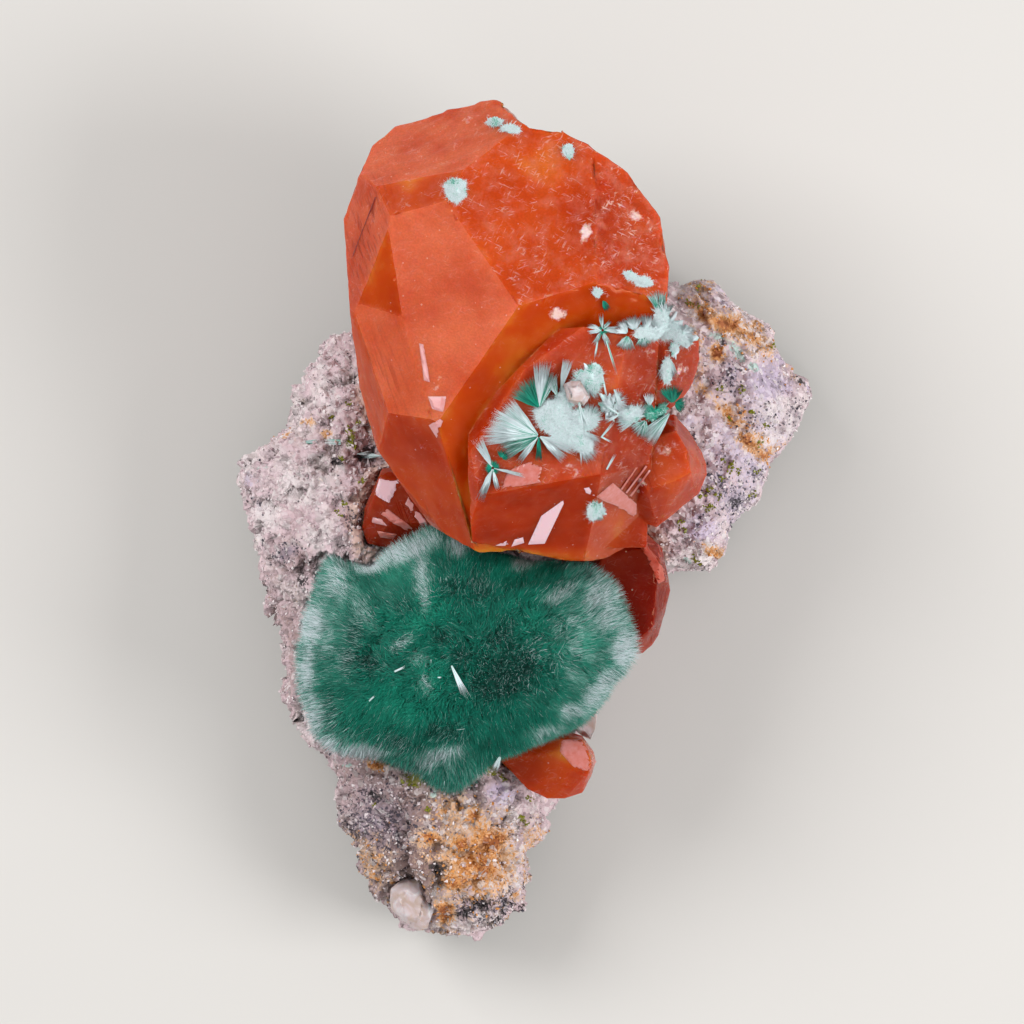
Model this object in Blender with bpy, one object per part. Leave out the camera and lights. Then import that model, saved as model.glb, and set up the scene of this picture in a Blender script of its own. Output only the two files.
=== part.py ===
"""Malachite specimen: green needle malachite on orange-red crystals and rock.

The specimen lies on its back on a surface, with the crystals up. The frame is
in metres: +X to the right and +Y to the top of the specimen as it is shown,
+Z up, away from the surface. The origin is under the middle of the specimen.
Sizes and places below are in millimetres and are turned to metres once, when
a shape is made.
"""
import itertools
import math

import bmesh
import bpy
import numpy as np
from mathutils import Vector, geometry, noise

MM = 0.001

# Gap left between pieces that have grown onto each other
GAP = 0.3

# Height of the main levels above the surface that the specimen lies on
CENTRAL_FACE_TOP = 26.2
CRYSTAL_BACK = 8.6

# Points closer than this are one corner, and faces this flat to each other are one face
MERGE_DISTANCE = 0.002
FLAT_ANGLE = math.radians(0.3)
# Three planes meet in one corner only above this determinant, and a corner is
# inside a plane when it is at most this far past it
LEAST_DETERMINANT = 1e-5
PLANE_SLACK = 1e-5
# Faces whose direction has more than this of +Z belong to a body's upper side
UPWARD = 0.05


def removed_scene_objects():
    """Empty the scene, so that it holds only this model."""
    for thing in list(bpy.data.objects):
        bpy.data.objects.remove(thing, do_unlink=True)


def material(name, color, roughness, transmission=0.0, ior=1.5):
    """Plain Principled material with a colour, in linear values."""
    made = bpy.data.materials.new(name)
    made.use_nodes = True
    shader = made.node_tree.nodes["Principled BSDF"]
    shader.inputs["Base Color"].default_value = (*color, 1.0)
    shader.inputs["Roughness"].default_value = roughness
    shader.inputs["Transmission Weight"].default_value = transmission
    shader.inputs["IOR"].default_value = ior
    made.diffuse_color = (*color, 1.0)
    return made


# Planes: a crystal face is a point on it and the direction that it looks in.
# Every face hangs on its neighbour: it is turned back about the edge they share.


def leaning_face(point, towards, lean):
    """Face through a point, leaning downhill towards a compass angle from +X."""
    turn = math.radians(towards)
    tip = math.radians(lean)
    out = Vector((math.sin(tip) * math.cos(turn), math.sin(tip) * math.sin(turn), math.cos(tip)))
    return Vector(point), out


def height_on(face, x, y):
    """Height of a face over a place."""
    point, out = face
    return point.z - (out.x * (x - point.x) + out.y * (y - point.y)) / out.z


def folded(face, start, end, angle):
    """Neighbour face on the right of the edge start-end, turned back by an angle."""
    a = Vector((*start, height_on(face, *start)))
    b = Vector((*end, height_on(face, *end)))
    along = (b - a).normalized()
    right = along.cross(face[1])
    turn = math.radians(angle)
    return a, face[1] * math.cos(turn) + right * math.sin(turn)


def convex_body(points):
    """Closed convex mesh around some points, with flat faces kept whole."""
    mesh = bmesh.new()
    for point in points:
        mesh.verts.new(point)
    bmesh.ops.remove_doubles(mesh, verts=mesh.verts, dist=MERGE_DISTANCE)
    hull = bmesh.ops.convex_hull(mesh, input=mesh.verts)
    inner = hull["geom_interior"] + hull["geom_unused"]
    spare = {item for item in inner if isinstance(item, bmesh.types.BMVert)}
    bmesh.ops.delete(mesh, geom=list(spare), context="VERTS")
    bmesh.ops.dissolve_limit(mesh, angle_limit=FLAT_ANGLE, verts=mesh.verts, edges=mesh.edges)
    bmesh.ops.recalc_face_normals(mesh, faces=mesh.faces)
    return mesh


def side_face(start, end, height, lean):
    """Steep face on the right of an outline's run start-end, at a height."""
    run = Vector(end) - Vector(start)
    towards = math.degrees(math.atan2(-run.x, run.y))
    return leaning_face((*start, height), towards, lean)


def hull_faces(points):
    """Faces of the smallest convex body around some points."""
    mesh = convex_body(points)
    faces = [(face.calc_center_median().copy(), face.normal.copy()) for face in mesh.faces]
    mesh.free()
    return faces


def crystal_mesh(faces, grown=0.0):
    """Convex body between crystal faces, each moved outwards by `grown`."""
    normals = np.array([out for point, out in faces])
    offsets = np.array([point.dot(out) + grown for point, out in faces])
    triples = np.array(list(itertools.combinations(range(len(faces)), 3)))
    systems = normals[triples]
    solvable = np.abs(np.linalg.det(systems)) > LEAST_DETERMINANT
    corners = np.linalg.solve(systems[solvable], offsets[triples[solvable]][..., None])[..., 0]
    inside = np.all(corners @ normals.T <= offsets + PLANE_SLACK, axis=1)
    return convex_body(corners[inside])


# Main crystal: the biggest orange-red crystal, from the top of the specimen
# down to the mat. Edges run anticlockwise around the face that carries them.

MAIN_TIP = (-5.2, 5.1)
MAIN_LEFT_CORNER = (-8.3, 17.1)
MAIN_LEFT_BEND = (-7.3, 12.4)
MAIN_RIGHT_CORNER = (-0.6, 12.6)
MAIN_TOP_CORNER = (-4.6, 19.2)
MAIN_TOP_LEFT = (-7.6, 18.4)


def main_crystal_faces():
    """Faces of the main crystal."""
    central = leaning_face((-0.6, 13.3, CENTRAL_FACE_TOP), 174, 16)
    lower_left = folded(central, MAIN_LEFT_BEND, MAIN_TIP, 22)
    upper_left = folded(lower_left, MAIN_LEFT_BEND, (-9.9, 13.2), 3)
    far_left = folded(upper_left, MAIN_LEFT_CORNER, (-9.9, 13.1), 20)
    lower_right = folded(central, (-4.9, 6.4), MAIN_RIGHT_CORNER, 42)
    upper_right = folded(central, (-0.6, 13.2), (-4.5, 18.9), 28)
    upper_band = folded(central, MAIN_TOP_CORNER, MAIN_TOP_LEFT, 30)
    top = folded(upper_band, (-2.8, 21.2), (-8.2, 20.2), 16)
    bottom_left = folded(lower_left, (-8.1, 6.6), (-6.2, 6.3), 26)
    far_right = folded(upper_right, (4.2, 16.3), (4.2, 18.7), 20)
    left_strip = folded(lower_left, (-9.6, 11.0), (-8.1, 6.6), 26)
    lower_edge = folded(bottom_left, (-8.8, 4.2), (-5.0, -0.3), 24)
    sides = [
        side_face((-9.9, 20.7), (-11.05, 17.4), 19.0, 93),
        side_face((-11.05, 17.5), (-10.4, 12.6), 19.0, 92),
        side_face((-10.2, 11.8), (-9.75, 7.2), 20.0, 94),
        side_face((-9.9, 8.4), (-9.0, 5.2), 20.0, 93),
        side_face((-9.2, 5.6), (-5.4, -0.2), 18.0, 96),
        side_face((-5.6, 0.0), (-2.6, -1.5), 18.0, 94),
        side_face((-3.4, -1.3), (-1.4, -1.6), 18.0, 100),
        side_face((7.4, 0.0), (8.45, 15.4), 19.0, 92),
        side_face((8.45, 15.2), (7.95, 18.3), 20.0, 93),
        side_face((8.0, 18.2), (6.1, 20.85), 21.0, 94),
        side_face((6.2, 20.8), (2.4, 23.2), 20.0, 92),
        side_face((2.6, 23.1), (-1.2, 25.05), 19.0, 93),
        side_face((-1.3, 25.15), (-3.2, 25.0), 18.0, 96),
        side_face((-2.4, 25.2), (-7.8, 23.7), 18.0, 93),
        side_face((-7.6, 23.8), (-9.2, 22.4), 18.0, 95),
        side_face((-9.1, 22.5), (-10.6, 18.8), 18.0, 92),
    ]
    backs = [
        leaning_face((0.0, 12.0, CRYSTAL_BACK), 90, 176),
        leaning_face((0.0, 24.6, 13.5), 90, 140),
        leaning_face((-9.8, 15.0, 12.0), 180, 130),
        leaning_face((8.2, 15.0, 12.0), 0, 130),
        leaning_face((-5.4, -0.4, 10.5), 232, 110),
        leaning_face((1.0, -0.9, 12.0), 270, 95),
    ]
    return [central, lower_left, upper_left, far_left, lower_right, upper_right, upper_band,
            top, bottom_left, far_right, left_strip, lower_edge] + sides + backs


# Front crystal: grown into the main one, in front of it at the lower right


def front_crystal_faces():
    """Faces of the front crystal, whose bevelled rim stands on the main one."""
    front = leaning_face((0.9, 10.3, 25.7), 300, 13)
    lower = folded(front, (-1.5, 1.9), (3.0, 2.7), 34)
    right = folded(front, (4.2, 1.7), (5.6, 8.6), 34)
    lower_right = folded(lower, (3.6, -2.0), (4.3, 1.7), 25)
    rim = [
        folded(front, (3.0, 11.4), (-0.1, 9.1), 60),
        folded(front, (-0.1, 9.1), (-2.1, 6.0), 60),
        folded(front, (-2.1, 6.0), (-3.2, 4.2), 60),
        folded(front, (-3.3, 4.3), (-2.5, 1.0), 55),
        folded(lower, (-1.9, -1.3), (2.5, -2.2), 50),
        folded(lower, (2.2, -2.2), (4.6, -2.2), 52),
        folded(lower_right, (4.5, -2.2), (6.3, -1.3), 50),
        folded(lower_right, (6.2, -1.4), (7.5, 1.1), 52),
        folded(right, (7.4, 0.9), (7.8, 8.0), 52),
        folded(front, (5.5, 11.2), (2.6, 11.9), 45),
    ]
    backs = [
        leaning_face((2.0, 6.0, 9.0), 270, 178),
        leaning_face((3.0, -1.6, 13.0), 270, 130),
        leaning_face((7.3, 2.0, 13.0), 0, 130),
        leaning_face((-3.0, 4.0, 20.0), 180, 95),
        leaning_face((2.0, 11.2, 20.0), 90, 95),
        leaning_face((-1.0, 8.0, 20.0), 135, 95),
    ]
    return [front, lower, right, lower_right] + rim + backs


def ring(points, height):
    """Corner points at one height."""
    return [(x, y, height) for x, y in points]


def right_knob_faces():
    """Rounded crystal at the right edge, with an eight-sided front face."""
    front = [
        (6.3, 10.6), (7.1, 11.2), (8.0, 11.2), (8.4, 10.5), (8.2, 8.2), (6.9, 7.2), (6.2, 7.5),
        (5.6, 9.4),
    ]
    waist = [
        (9.6, 11.7), (10.4, 11.0), (10.5, 9.9), (10.1, 8.5), (9.3, 7.3), (7.0, 5.8), (4.9, 9.0),
        (6.6, 13.4),
    ]
    back = [(7.8, 10.6), (8.2, 9.2), (7.4, 7.6), (5.0, 9.0), (6.6, 12.0)]
    return hull_faces(ring(front, 22.6) + ring(waist, 19.6) + ring(back, 12.6))


def right_crystal_faces():
    """Round orange crystal below the knob."""
    front = [(9.0, 5.6), (9.7, 4.4), (9.9, 3.1), (9.0, 2.6), (7.3, 2.0), (6.4, 3.4), (7.2, 5.0)]
    waist = [
        (9.0, 6.6), (10.0, 5.3), (10.6, 4.4), (10.9, 3.6), (10.9, 3.0), (10.4, 1.8), (9.4, 1.0),
        (7.9, -0.2), (6.0, 0.5), (5.5, 5.0), (7.8, 6.6),
    ]
    back = [(8.6, 4.6), (8.4, 2.6), (7.2, 1.0), (5.8, 1.6), (6.2, 5.0)]
    return hull_faces(ring(front, 21.0) + ring(waist, 18.0) + ring(back, 9.6))


def deep_red_crystal_faces():
    """Deep red crystal behind the others, at the lower right beside the mat."""
    front = [
        (7.3, -1.4), (8.1, -2.2), (7.9, -4.0), (7.7, -6.2), (6.5, -7.2), (4.6, -6.4), (4.2, -3.0),
        (5.0, -1.0),
    ]
    waist = [
        (7.0, -0.2), (8.3, -1.4), (8.7, -3.3), (8.8, -4.0), (8.5, -5.3), (8.1, -6.7), (7.7, -7.3),
        (7.1, -7.8), (6.6, -7.9), (4.2, -7.2), (3.6, -3.0), (4.6, -0.4),
    ]
    back = [(7.0, -1.0), (7.0, -3.6), (6.0, -5.8), (4.6, -5.6), (4.4, -1.4)]
    return hull_faces(ring(front, 14.4) + ring(waist, 12.6) + ring(back, 8.4))


def left_small_crystal_faces():
    """Small red crystal in the rock, left of the main one."""
    top = [(-8.8, 2.8), (-7.3, 2.7), (-6.4, 1.6), (-5.6, 0.1), (-8.0, 0.1), (-9.0, 1.9)]
    waist = [
        (-8.6, 3.4), (-7.2, 3.6), (-5.4, 2.0), (-4.6, -0.2), (-5.6, -1.0), (-8.0, -1.5),
        (-9.5, -1.2), (-9.8, -0.2), (-9.7, 0.9), (-9.1, 2.1),
    ]
    bottom = [(-8.2, 2.2), (-6.0, 1.2), (-6.2, -0.6), (-8.8, -0.6)]
    return hull_faces(ring(top, 14.0) + ring(waist, 12.4) + ring(bottom, 9.4))


def lower_small_crystal_faces():
    """Small orange crystal that sticks out below the mat."""
    front = [(2.1, -12.9), (2.1, -13.7), (2.9, -14.7), (3.9, -14.9), (4.0, -14.2), (3.5, -13.0)]
    waist = [
        (-1.6, -14.2), (-0.7, -15.1), (0.2, -16.0), (1.4, -16.6), (2.4, -16.6), (3.5, -16.2),
        (4.1, -15.2), (4.3, -14.3), (4.2, -13.7), (3.5, -12.7), (1.6, -12.2), (-1.0, -12.9),
    ]
    back = [(-0.8, -14.0), (0.6, -15.0), (2.4, -14.8), (2.6, -13.4), (0.4, -13.0)]
    return hull_faces(ring(front, 14.2) + ring(waist, 12.4) + ring(back, 8.2))


def pale_wedge_faces():
    """Whitish crystal between the mat and the lower small crystal."""
    front = [(4.5, -10.4), (4.3, -12.4), (4.1, -13.1), (3.2, -12.7), (3.0, -12.0), (3.4, -10.6)]
    back = [(4.3, -10.8), (4.0, -12.9), (3.2, -12.5), (3.4, -10.8)]
    return hull_faces(ring(front, 12.0) + ring(back, 7.6))


def pale_crystal_faces():
    """Clear to pinkish crystal set in the bottom of the rock."""
    front = [
        (-7.2, -21.5), (-6.4, -21.5), (-5.9, -22.4), (-5.4, -23.3), (-5.8, -24.6), (-6.9, -24.6),
        (-7.9, -23.6), (-8.2, -23.0), (-8.1, -22.1),
    ]
    crest = [(-7.0, -22.2), (-6.2, -22.8), (-6.3, -24.0), (-7.2, -23.8), (-7.6, -22.9)]
    back = [(-7.0, -22.0), (-6.0, -23.0), (-6.4, -24.2), (-7.6, -23.4)]
    return hull_faces(ring(front, 8.2) + ring(crest, 9.0) + ring(back, 5.6))


def pink_chip_faces():
    """Small pinkish grain that sits in the main spray."""
    top = [(2.4, 8.2), (3.2, 8.3), (3.7, 7.6), (3.4, 7.2), (2.7, 7.4)]
    waist = [(2.2, 8.3), (3.3, 8.6), (3.9, 7.6), (3.5, 6.9), (2.5, 7.2)]
    return hull_faces(ring(top, 26.9) + ring(waist, 26.3) + ring(waist, 25.9))


def notch_faces():
    """Notch at the top of the main crystal, between its two growth blocks."""
    corners = [(-0.5, 24.1), (0.3, 23.6), (2.2, 23.3), (1.6, 25.6), (-1.0, 25.4), (-1.3, 25.0)]
    return hull_faces(ring(corners, 30.0) + ring(corners, 6.0))


def cluster_parts():
    """The crystals that grew into each other, as lists of faces."""
    return [main_crystal_faces(), front_crystal_faces(), right_knob_faces(), right_crystal_faces(),
            deep_red_crystal_faces()]


def top_of(faces, x, y):
    """Height of a convex body's upper side over a place, with the gap to its neighbours."""
    upper = [(point + GAP * out, out) for point, out in faces if out.z > UPWARD]
    return min(height_on(face, x, y) for face in upper)


def levels_near(x, y, reach):
    """Lowest and highest upper side of the cluster around a place."""
    steps = [(0.0, 0.0), (reach, 0.0), (-reach, 0.0), (0.0, reach), (0.0, -reach)]
    levels = [max(top_of(faces, x + east, y + north) for faces in CLUSTER) for east, north in steps]
    return min(levels), max(levels)


CLUSTER = cluster_parts()

# Slabs: the rock, the mat and the sprays are flat-lying bodies, each made from
# an outline, an upper height and a lower height over every place in it.

# Places of a slab keep this share of their ring's depth or of the spacing free around them
RING_ROOM = 0.75
# The loose grid starts this far inside the last ring, and its places are moved by
# this share of the spacing, by noise of this size
GRID_MARGIN = 0.4
GRID_LOOSENESS = 0.25
GRID_NOISE_SIZE = 0.9
# Size of the lumps on a slab's wall, and the share of them by which it lies inwards
WALL_LUMP_SIZE = 1.7
WALL_LEAN_IN = 0.35

MATRIX_OUTLINE = [
    (-10.5, 12.0), (-11.8, 11.0), (-13.0, 9.6), (-14.0, 8.2), (-14.0, 6.9), (-14.4, 5.5),
    (-14.9, 5.4), (-15.6, 4.7), (-16.3, 4.2), (-17.5, 3.5), (-17.7, 2.4), (-17.1, 1.6),
    (-17.1, 0.6), (-16.3, -0.8), (-15.8, -1.8), (-16.0, -2.4), (-15.6, -4.3), (-15.8, -5.2),
    (-15.3, -5.8), (-14.7, -6.2), (-14.7, -7.2), (-14.1, -8.1), (-14.2, -8.7), (-14.7, -9.3),
    (-14.7, -10.1), (-14.6, -11.1), (-13.7, -11.9), (-13.7, -12.9), (-12.6, -14.0),
    (-12.1, -13.9), (-11.6, -14.8), (-11.0, -15.3), (-11.6, -16.3), (-11.3, -17.0),
    (-11.3, -18.5), (-10.7, -18.9), (-10.0, -19.8), (-9.8, -20.9), (-9.2, -21.9), (-9.0, -22.7),
    (-8.3, -23.3), (-7.7, -24.2), (-6.8, -24.8), (-5.1, -24.8), (-3.7, -25.1), (-2.5, -24.9),
    (-1.6, -24.9), (-0.9, -24.2), (-0.3, -23.1), (0.3, -21.8), (0.1, -20.3), (0.7, -19.6),
    (1.0, -18.6), (1.4, -17.2), (1.9, -15.9), (2.7, -14.1), (3.6, -12.0), (3.9, -10.5),
    (4.5, -8.7), (5.2, -7.2), (6.3, -5.7), (7.2, -4.5), (7.8, -3.6), (8.5, -2.7), (9.7, -2.8),
    (11.3, -3.1), (11.6, -2.4), (12.4, -1.8), (12.6, 0.1), (13.5, 0.6), (14.1, 1.2), (14.5, 2.2),
    (15.0, 3.5), (15.6, 4.2), (16.3, 5.2), (17.3, 6.9), (17.6, 7.6), (17.6, 8.3), (17.4, 9.0),
    (16.5, 9.5), (15.7, 9.8), (15.3, 10.9), (15.0, 11.8), (14.2, 12.4), (12.4, 13.7),
    (11.8, 14.2), (11.8, 15.0), (10.6, 15.0), (9.6, 14.2), (8.8, 14.8), (7.6, 15.6), (5.0, 16.0),
    (2.0, 15.4), (-1.0, 15.6), (-4.0, 14.8), (-6.5, 13.8), (-8.5, 12.9),
]
MATRIX_BASE_HEIGHT = 8.4
# Swells of the rock's upper side: place, reach and height
MATRIX_SWELLS = [
    ((-13.0, 2.0), 4.5, 2.6),
    ((-11.5, 8.0), 3.0, 1.2),
    ((-12.5, -7.0), 4.5, 2.2),
    ((-5.0, -17.5), 4.5, 3.0),
    ((-4.0, -22.5), 3.5, 0.8),
    ((12.0, 8.0), 5.0, 1.6),
    ((10.5, 0.5), 3.5, 1.6),
    ((-2.0, -3.0), 8.0, 2.6),
]
# Lumps of the rock's upper side: size across, height and where in the noise they are taken
MATRIX_LUMPS = [(3.1, 1.0, 0.0), (1.3, 0.7, 5.0)]
MATRIX_EDGE_DROP = 1.6
MATRIX_EDGE_REACH = 1.8
MATRIX_REST_RISE = 1.2
MATRIX_REST_REACH = 1.6
MATRIX_REST_CENTRE = (-0.8, 0.5)
MATRIX_REST_RADIUS = 8.5
MATRIX_REST_FADE = 3.0
MATRIX_HOLLOW_DEPTH = 1.4
MATRIX_HOLLOW_SIZE = 3.0
MATRIX_HOLLOW_SHARE = 0.12
MATRIX_SPACING = 1.45
MATRIX_RINGS = (0.5, 1.3, 2.3)
MATRIX_WALL_STEPS = 4
MATRIX_WALL_ROUGHNESS = 0.8
# Flat breaks of the rock: direction from the middle, distance to the break, and how steep it is
MATRIX_UPPER_BREAKS = [
    (22, 15.5, 0.45), (-40, 10.0, 0.3), (160, 15.0, 0.5), (205, 14.5, 0.5), (250, 21.5, 0.7),
    (283, 22.5, 0.6),
]
MATRIX_LOWER_BREAKS = [
    (15, 12.0, 0.42), (60, 10.5, 0.4), (115, 9.5, 0.45), (165, 12.0, 0.5), (200, 12.5, 0.4),
    (240, 18.0, 0.5), (272, 20.5, 0.6), (310, 10.0, 0.4), (345, 11.0, 0.5),
]
MATRIX_LEAST_THICKNESS = 3.2

MAT_OUTLINE = [
    (-11.6, -2.1), (-12.0, -2.7), (-12.3, -3.9), (-13.1, -5.7), (-13.5, -8.0), (-13.4, -9.9),
    (-12.8, -11.1), (-12.5, -12.5), (-11.3, -13.5), (-8.6, -13.8), (-7.5, -14.3), (-6.3, -14.6),
    (-5.3, -15.6), (-4.2, -15.8), (-3.0, -15.0), (-2.1, -14.2), (-0.3, -13.7), (2.4, -12.5),
    (3.7, -11.7), (4.5, -10.8), (5.1, -9.9), (6.1, -8.6), (6.6, -7.6), (6.3, -6.2), (5.8, -5.0),
    (5.2, -3.6), (4.1, -2.7), (2.4, -2.5), (0.4, -2.2), (-1.7, -1.7), (-2.6, -1.5), (-3.3, -0.8),
    (-4.3, -0.5), (-5.0, -0.1), (-6.6, -0.8), (-7.5, -1.2), (-8.3, -1.8), (-9.2, -2.7),
    (-10.2, -2.7),
]
MAT_TOP = 18.4
MAT_MIDDLE_X = -3.5
MAT_EDGE_DROP = 3.0
MAT_EDGE_REACH = 4.2
MAT_SLOPE = 0.11
MAT_LOBE_SIZE = 3.6
MAT_LOBE_RISE = 0.5
MAT_UNDERSIDE = 11.6
# East of this place the mat reaches past the rock, and its underside rises this steeply
MAT_OVERHANG_START = 2.0
MAT_OVERHANG_SLOPE = 0.75
MAT_SPACING = 1.5
MAT_RINGS = (0.4, 1.2)
MAT_WALL_STEPS = 2

# Each spray reaches this far below the crystals' faces around it, before it is cut to them
SPRAY_TUCK = 0.8
SPRAY_SPACING = 1.1
SPRAY_EDGE_RISE = 0.2
SPRAY_EDGE_REACH = 0.9
SPRAY_STEP_REACH = 0.3
SPRAY_RINGS = (0.45,)

# Sprays and patches of malachite on the crystals: outline and height in the middle
SPRAYS = {
    "spray_main": ([
        (-2.9, 5.6), (-2.4, 5.9), (-1.7, 7.3), (-0.9, 7.9), (-0.5, 8.4), (0.6, 9.5), (1.2, 9.8),
        (1.7, 9.1), (2.3, 9.6), (3.3, 8.9), (4.0, 9.5), (4.6, 9.1), (4.5, 8.2), (4.1, 7.2),
        (4.3, 6.2), (4.2, 5.1), (3.6, 3.8), (3.0, 4.4), (1.9, 4.7), (0.9, 3.8), (0.5, 4.2),
        (-0.3, 4.4), (-1.4, 4.5), (-2.2, 4.8),
    ], 1.3),
    "spray_lower_left": ([
        (-3.0, 4.8), (-2.4, 4.6), (-1.8, 4.2), (-1.2, 4.2), (-0.9, 3.7), (0.0, 3.0), (-0.9, 2.9),
        (-1.5, 2.6), (-1.6, 1.8), (-2.1, 2.3), (-2.7, 1.4), (-2.7, 2.2), (-2.4, 3.2), (-2.7, 3.9),
    ], 0.9),
    "spray_star": ([
        (3.8, 11.5), (4.3, 12.2), (5.1, 12.1), (5.4, 11.4), (5.0, 10.7), (4.2, 10.7),
    ], 0.6),
    "spray_upper_right": ([
        (5.2, 10.8), (5.8, 11.7), (6.5, 12.3), (7.2, 12.1), (7.5, 12.7), (8.0, 13.6), (7.9, 14.1),
        (8.4, 13.9), (8.8, 13.2), (9.5, 12.4), (10.0, 11.8), (9.9, 10.8), (9.3, 10.5),
        (8.6, 10.3), (8.6, 8.4), (8.2, 8.4), (8.1, 10.3), (7.2, 10.8), (6.4, 10.4),
    ], 0.8),
    "spray_right": ([
        (5.5, 7.4), (6.3, 7.7), (6.9, 7.2), (7.8, 7.7), (8.2, 8.1), (8.9, 8.4), (9.3, 8.1),
        (9.4, 7.3), (9.0, 6.6), (8.2, 6.3), (7.8, 5.5), (7.2, 4.7), (6.9, 5.3), (6.3, 6.0),
        (5.6, 6.4), (5.1, 6.9),
    ], 1.0),
    "spray_button": ([
        (3.7, 0.7), (3.8, 1.2), (4.3, 1.4), (4.8, 1.1), (4.9, 0.5), (4.4, 0.1), (3.9, 0.2),
    ], 0.5),
    "spray_small": ([
        (4.1, 14.0), (4.5, 13.9), (5.0, 13.1), (4.7, 12.9), (4.2, 13.4),
    ], 0.5),
    "spray_frost": ([
        (5.8, 15.0), (6.6, 14.8), (7.4, 14.7), (7.6, 14.2), (6.8, 14.2), (6.0, 14.4),
    ], 0.4),
    "patch_upper": ([
        (-4.8, 20.2), (-4.2, 20.5), (-3.5, 20.3), (-3.5, 19.5), (-4.0, 19.0), (-4.6, 19.4),
    ], 0.3),
    "patch_right_top": ([
        (2.2, 22.6), (2.6, 22.7), (2.9, 22.2), (2.8, 21.7), (2.4, 21.9),
    ], 0.3),
    "patch_top": ([
        (-2.3, 24.0), (-1.7, 24.2), (-0.9, 23.8), (-0.2, 23.6), (-0.3, 23.2), (-1.2, 23.4),
        (-2.2, 23.6),
    ], 0.3),
}
BLADE_OUTLINE = [(-10.4, 4.2), (-9.6, 4.0), (-8.7, 4.1), (-9.0, 4.4), (-9.8, 4.5)]
BLADE_TOP = 12.6
BLADE_UNDERSIDE = 10.6


def swell(place, x, y, reach):
    """Round bump, one at its place and fading to nothing around it."""
    return math.exp(-((x - place[0]) ** 2 + (y - place[1]) ** 2) / (2.0 * reach * reach))


def roughness_at(x, y, size, level):
    """Smooth noise from -1 to 1 over places, with features of a size."""
    return noise.noise(Vector((x / size, y / size, level)))


def distance_inside(outline, x, y):
    """Distance from a place to the nearest run of an outline."""
    best = math.inf
    for number, start in enumerate(outline):
        end = outline[(number + 1) % len(outline)]
        run = (end[0] - start[0], end[1] - start[1])
        length_squared = run[0] ** 2 + run[1] ** 2
        part = ((x - start[0]) * run[0] + (y - start[1]) * run[1]) / length_squared
        part = min(max(part, 0.0), 1.0)
        best = min(best, math.hypot(x - start[0] - part * run[0], y - start[1] - part * run[1]))
    return best


def is_inside(outline, x, y):
    """Whether a place is inside an outline."""
    inside = False
    for number, start in enumerate(outline):
        end = outline[(number + 1) % len(outline)]
        if (start[1] > y) != (end[1] > y):
            crossing = start[0] + (y - start[1]) * (end[0] - start[0]) / (end[1] - start[1])
            inside = inside != (x < crossing)
    return inside


def finer_outline(outline, spacing):
    """The outline with points added on its long runs."""
    points = []
    for number, start in enumerate(outline):
        end = outline[(number + 1) % len(outline)]
        steps = max(1, round(math.dist(start, end) / spacing))
        for step in range(steps):
            part = step / steps
            points.append((start[0] + part * (end[0] - start[0]), start[1] + part * (end[1] - start[1])))
    return points


def grown_outline(outline, grow):
    """The outline with each corner moved outwards."""
    grown = []
    for number, corner in enumerate(outline):
        before = Vector(outline[number - 1])
        after = Vector(outline[(number + 1) % len(outline)])
        run = (after - before).normalized()
        grown.append((corner[0] + grow * run.y, corner[1] - grow * run.x))
    return grown


def places_in(outline, spacing, depths):
    """Outline corners, then places in rings at some depths, then a loose grid inside."""
    places = list(outline)
    inner_depth = GRID_MARGIN + (depths[-1] if depths else 0.0)

    def add(x, y, room):
        if all(math.dist((x, y), other) > room for other in places):
            places.append((x, y))

    for depth in depths:
        for number, start in enumerate(outline):
            end = outline[(number + 1) % len(outline)]
            run = (Vector(end) - Vector(start)).normalized()
            x = (start[0] + end[0]) / 2 - run.y * depth
            y = (start[1] + end[1]) / 2 + run.x * depth
            if is_inside(outline, x, y) and distance_inside(outline, x, y) > RING_ROOM * depth:
                add(x, y, RING_ROOM * min(depth, spacing))
    low_x = min(x for x, y in outline)
    high_x = max(x for x, y in outline)
    low_y = min(y for x, y in outline)
    high_y = max(y for x, y in outline)
    row_gap = spacing * math.sqrt(0.75)
    for row in range(int((high_y - low_y) / row_gap) + 1):
        for column in range(int((high_x - low_x) / spacing) + 1):
            x = low_x + (column + 0.5 * (row % 2)) * spacing
            y = low_y + row * row_gap
            x += GRID_LOOSENESS * spacing * roughness_at(x, y, GRID_NOISE_SIZE, 3.0)
            y += GRID_LOOSENESS * spacing * roughness_at(x, y, GRID_NOISE_SIZE, 7.0)
            if is_inside(outline, x, y) and distance_inside(outline, x, y) > inner_depth:
                add(x, y, RING_ROOM * spacing)
    return places


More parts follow.
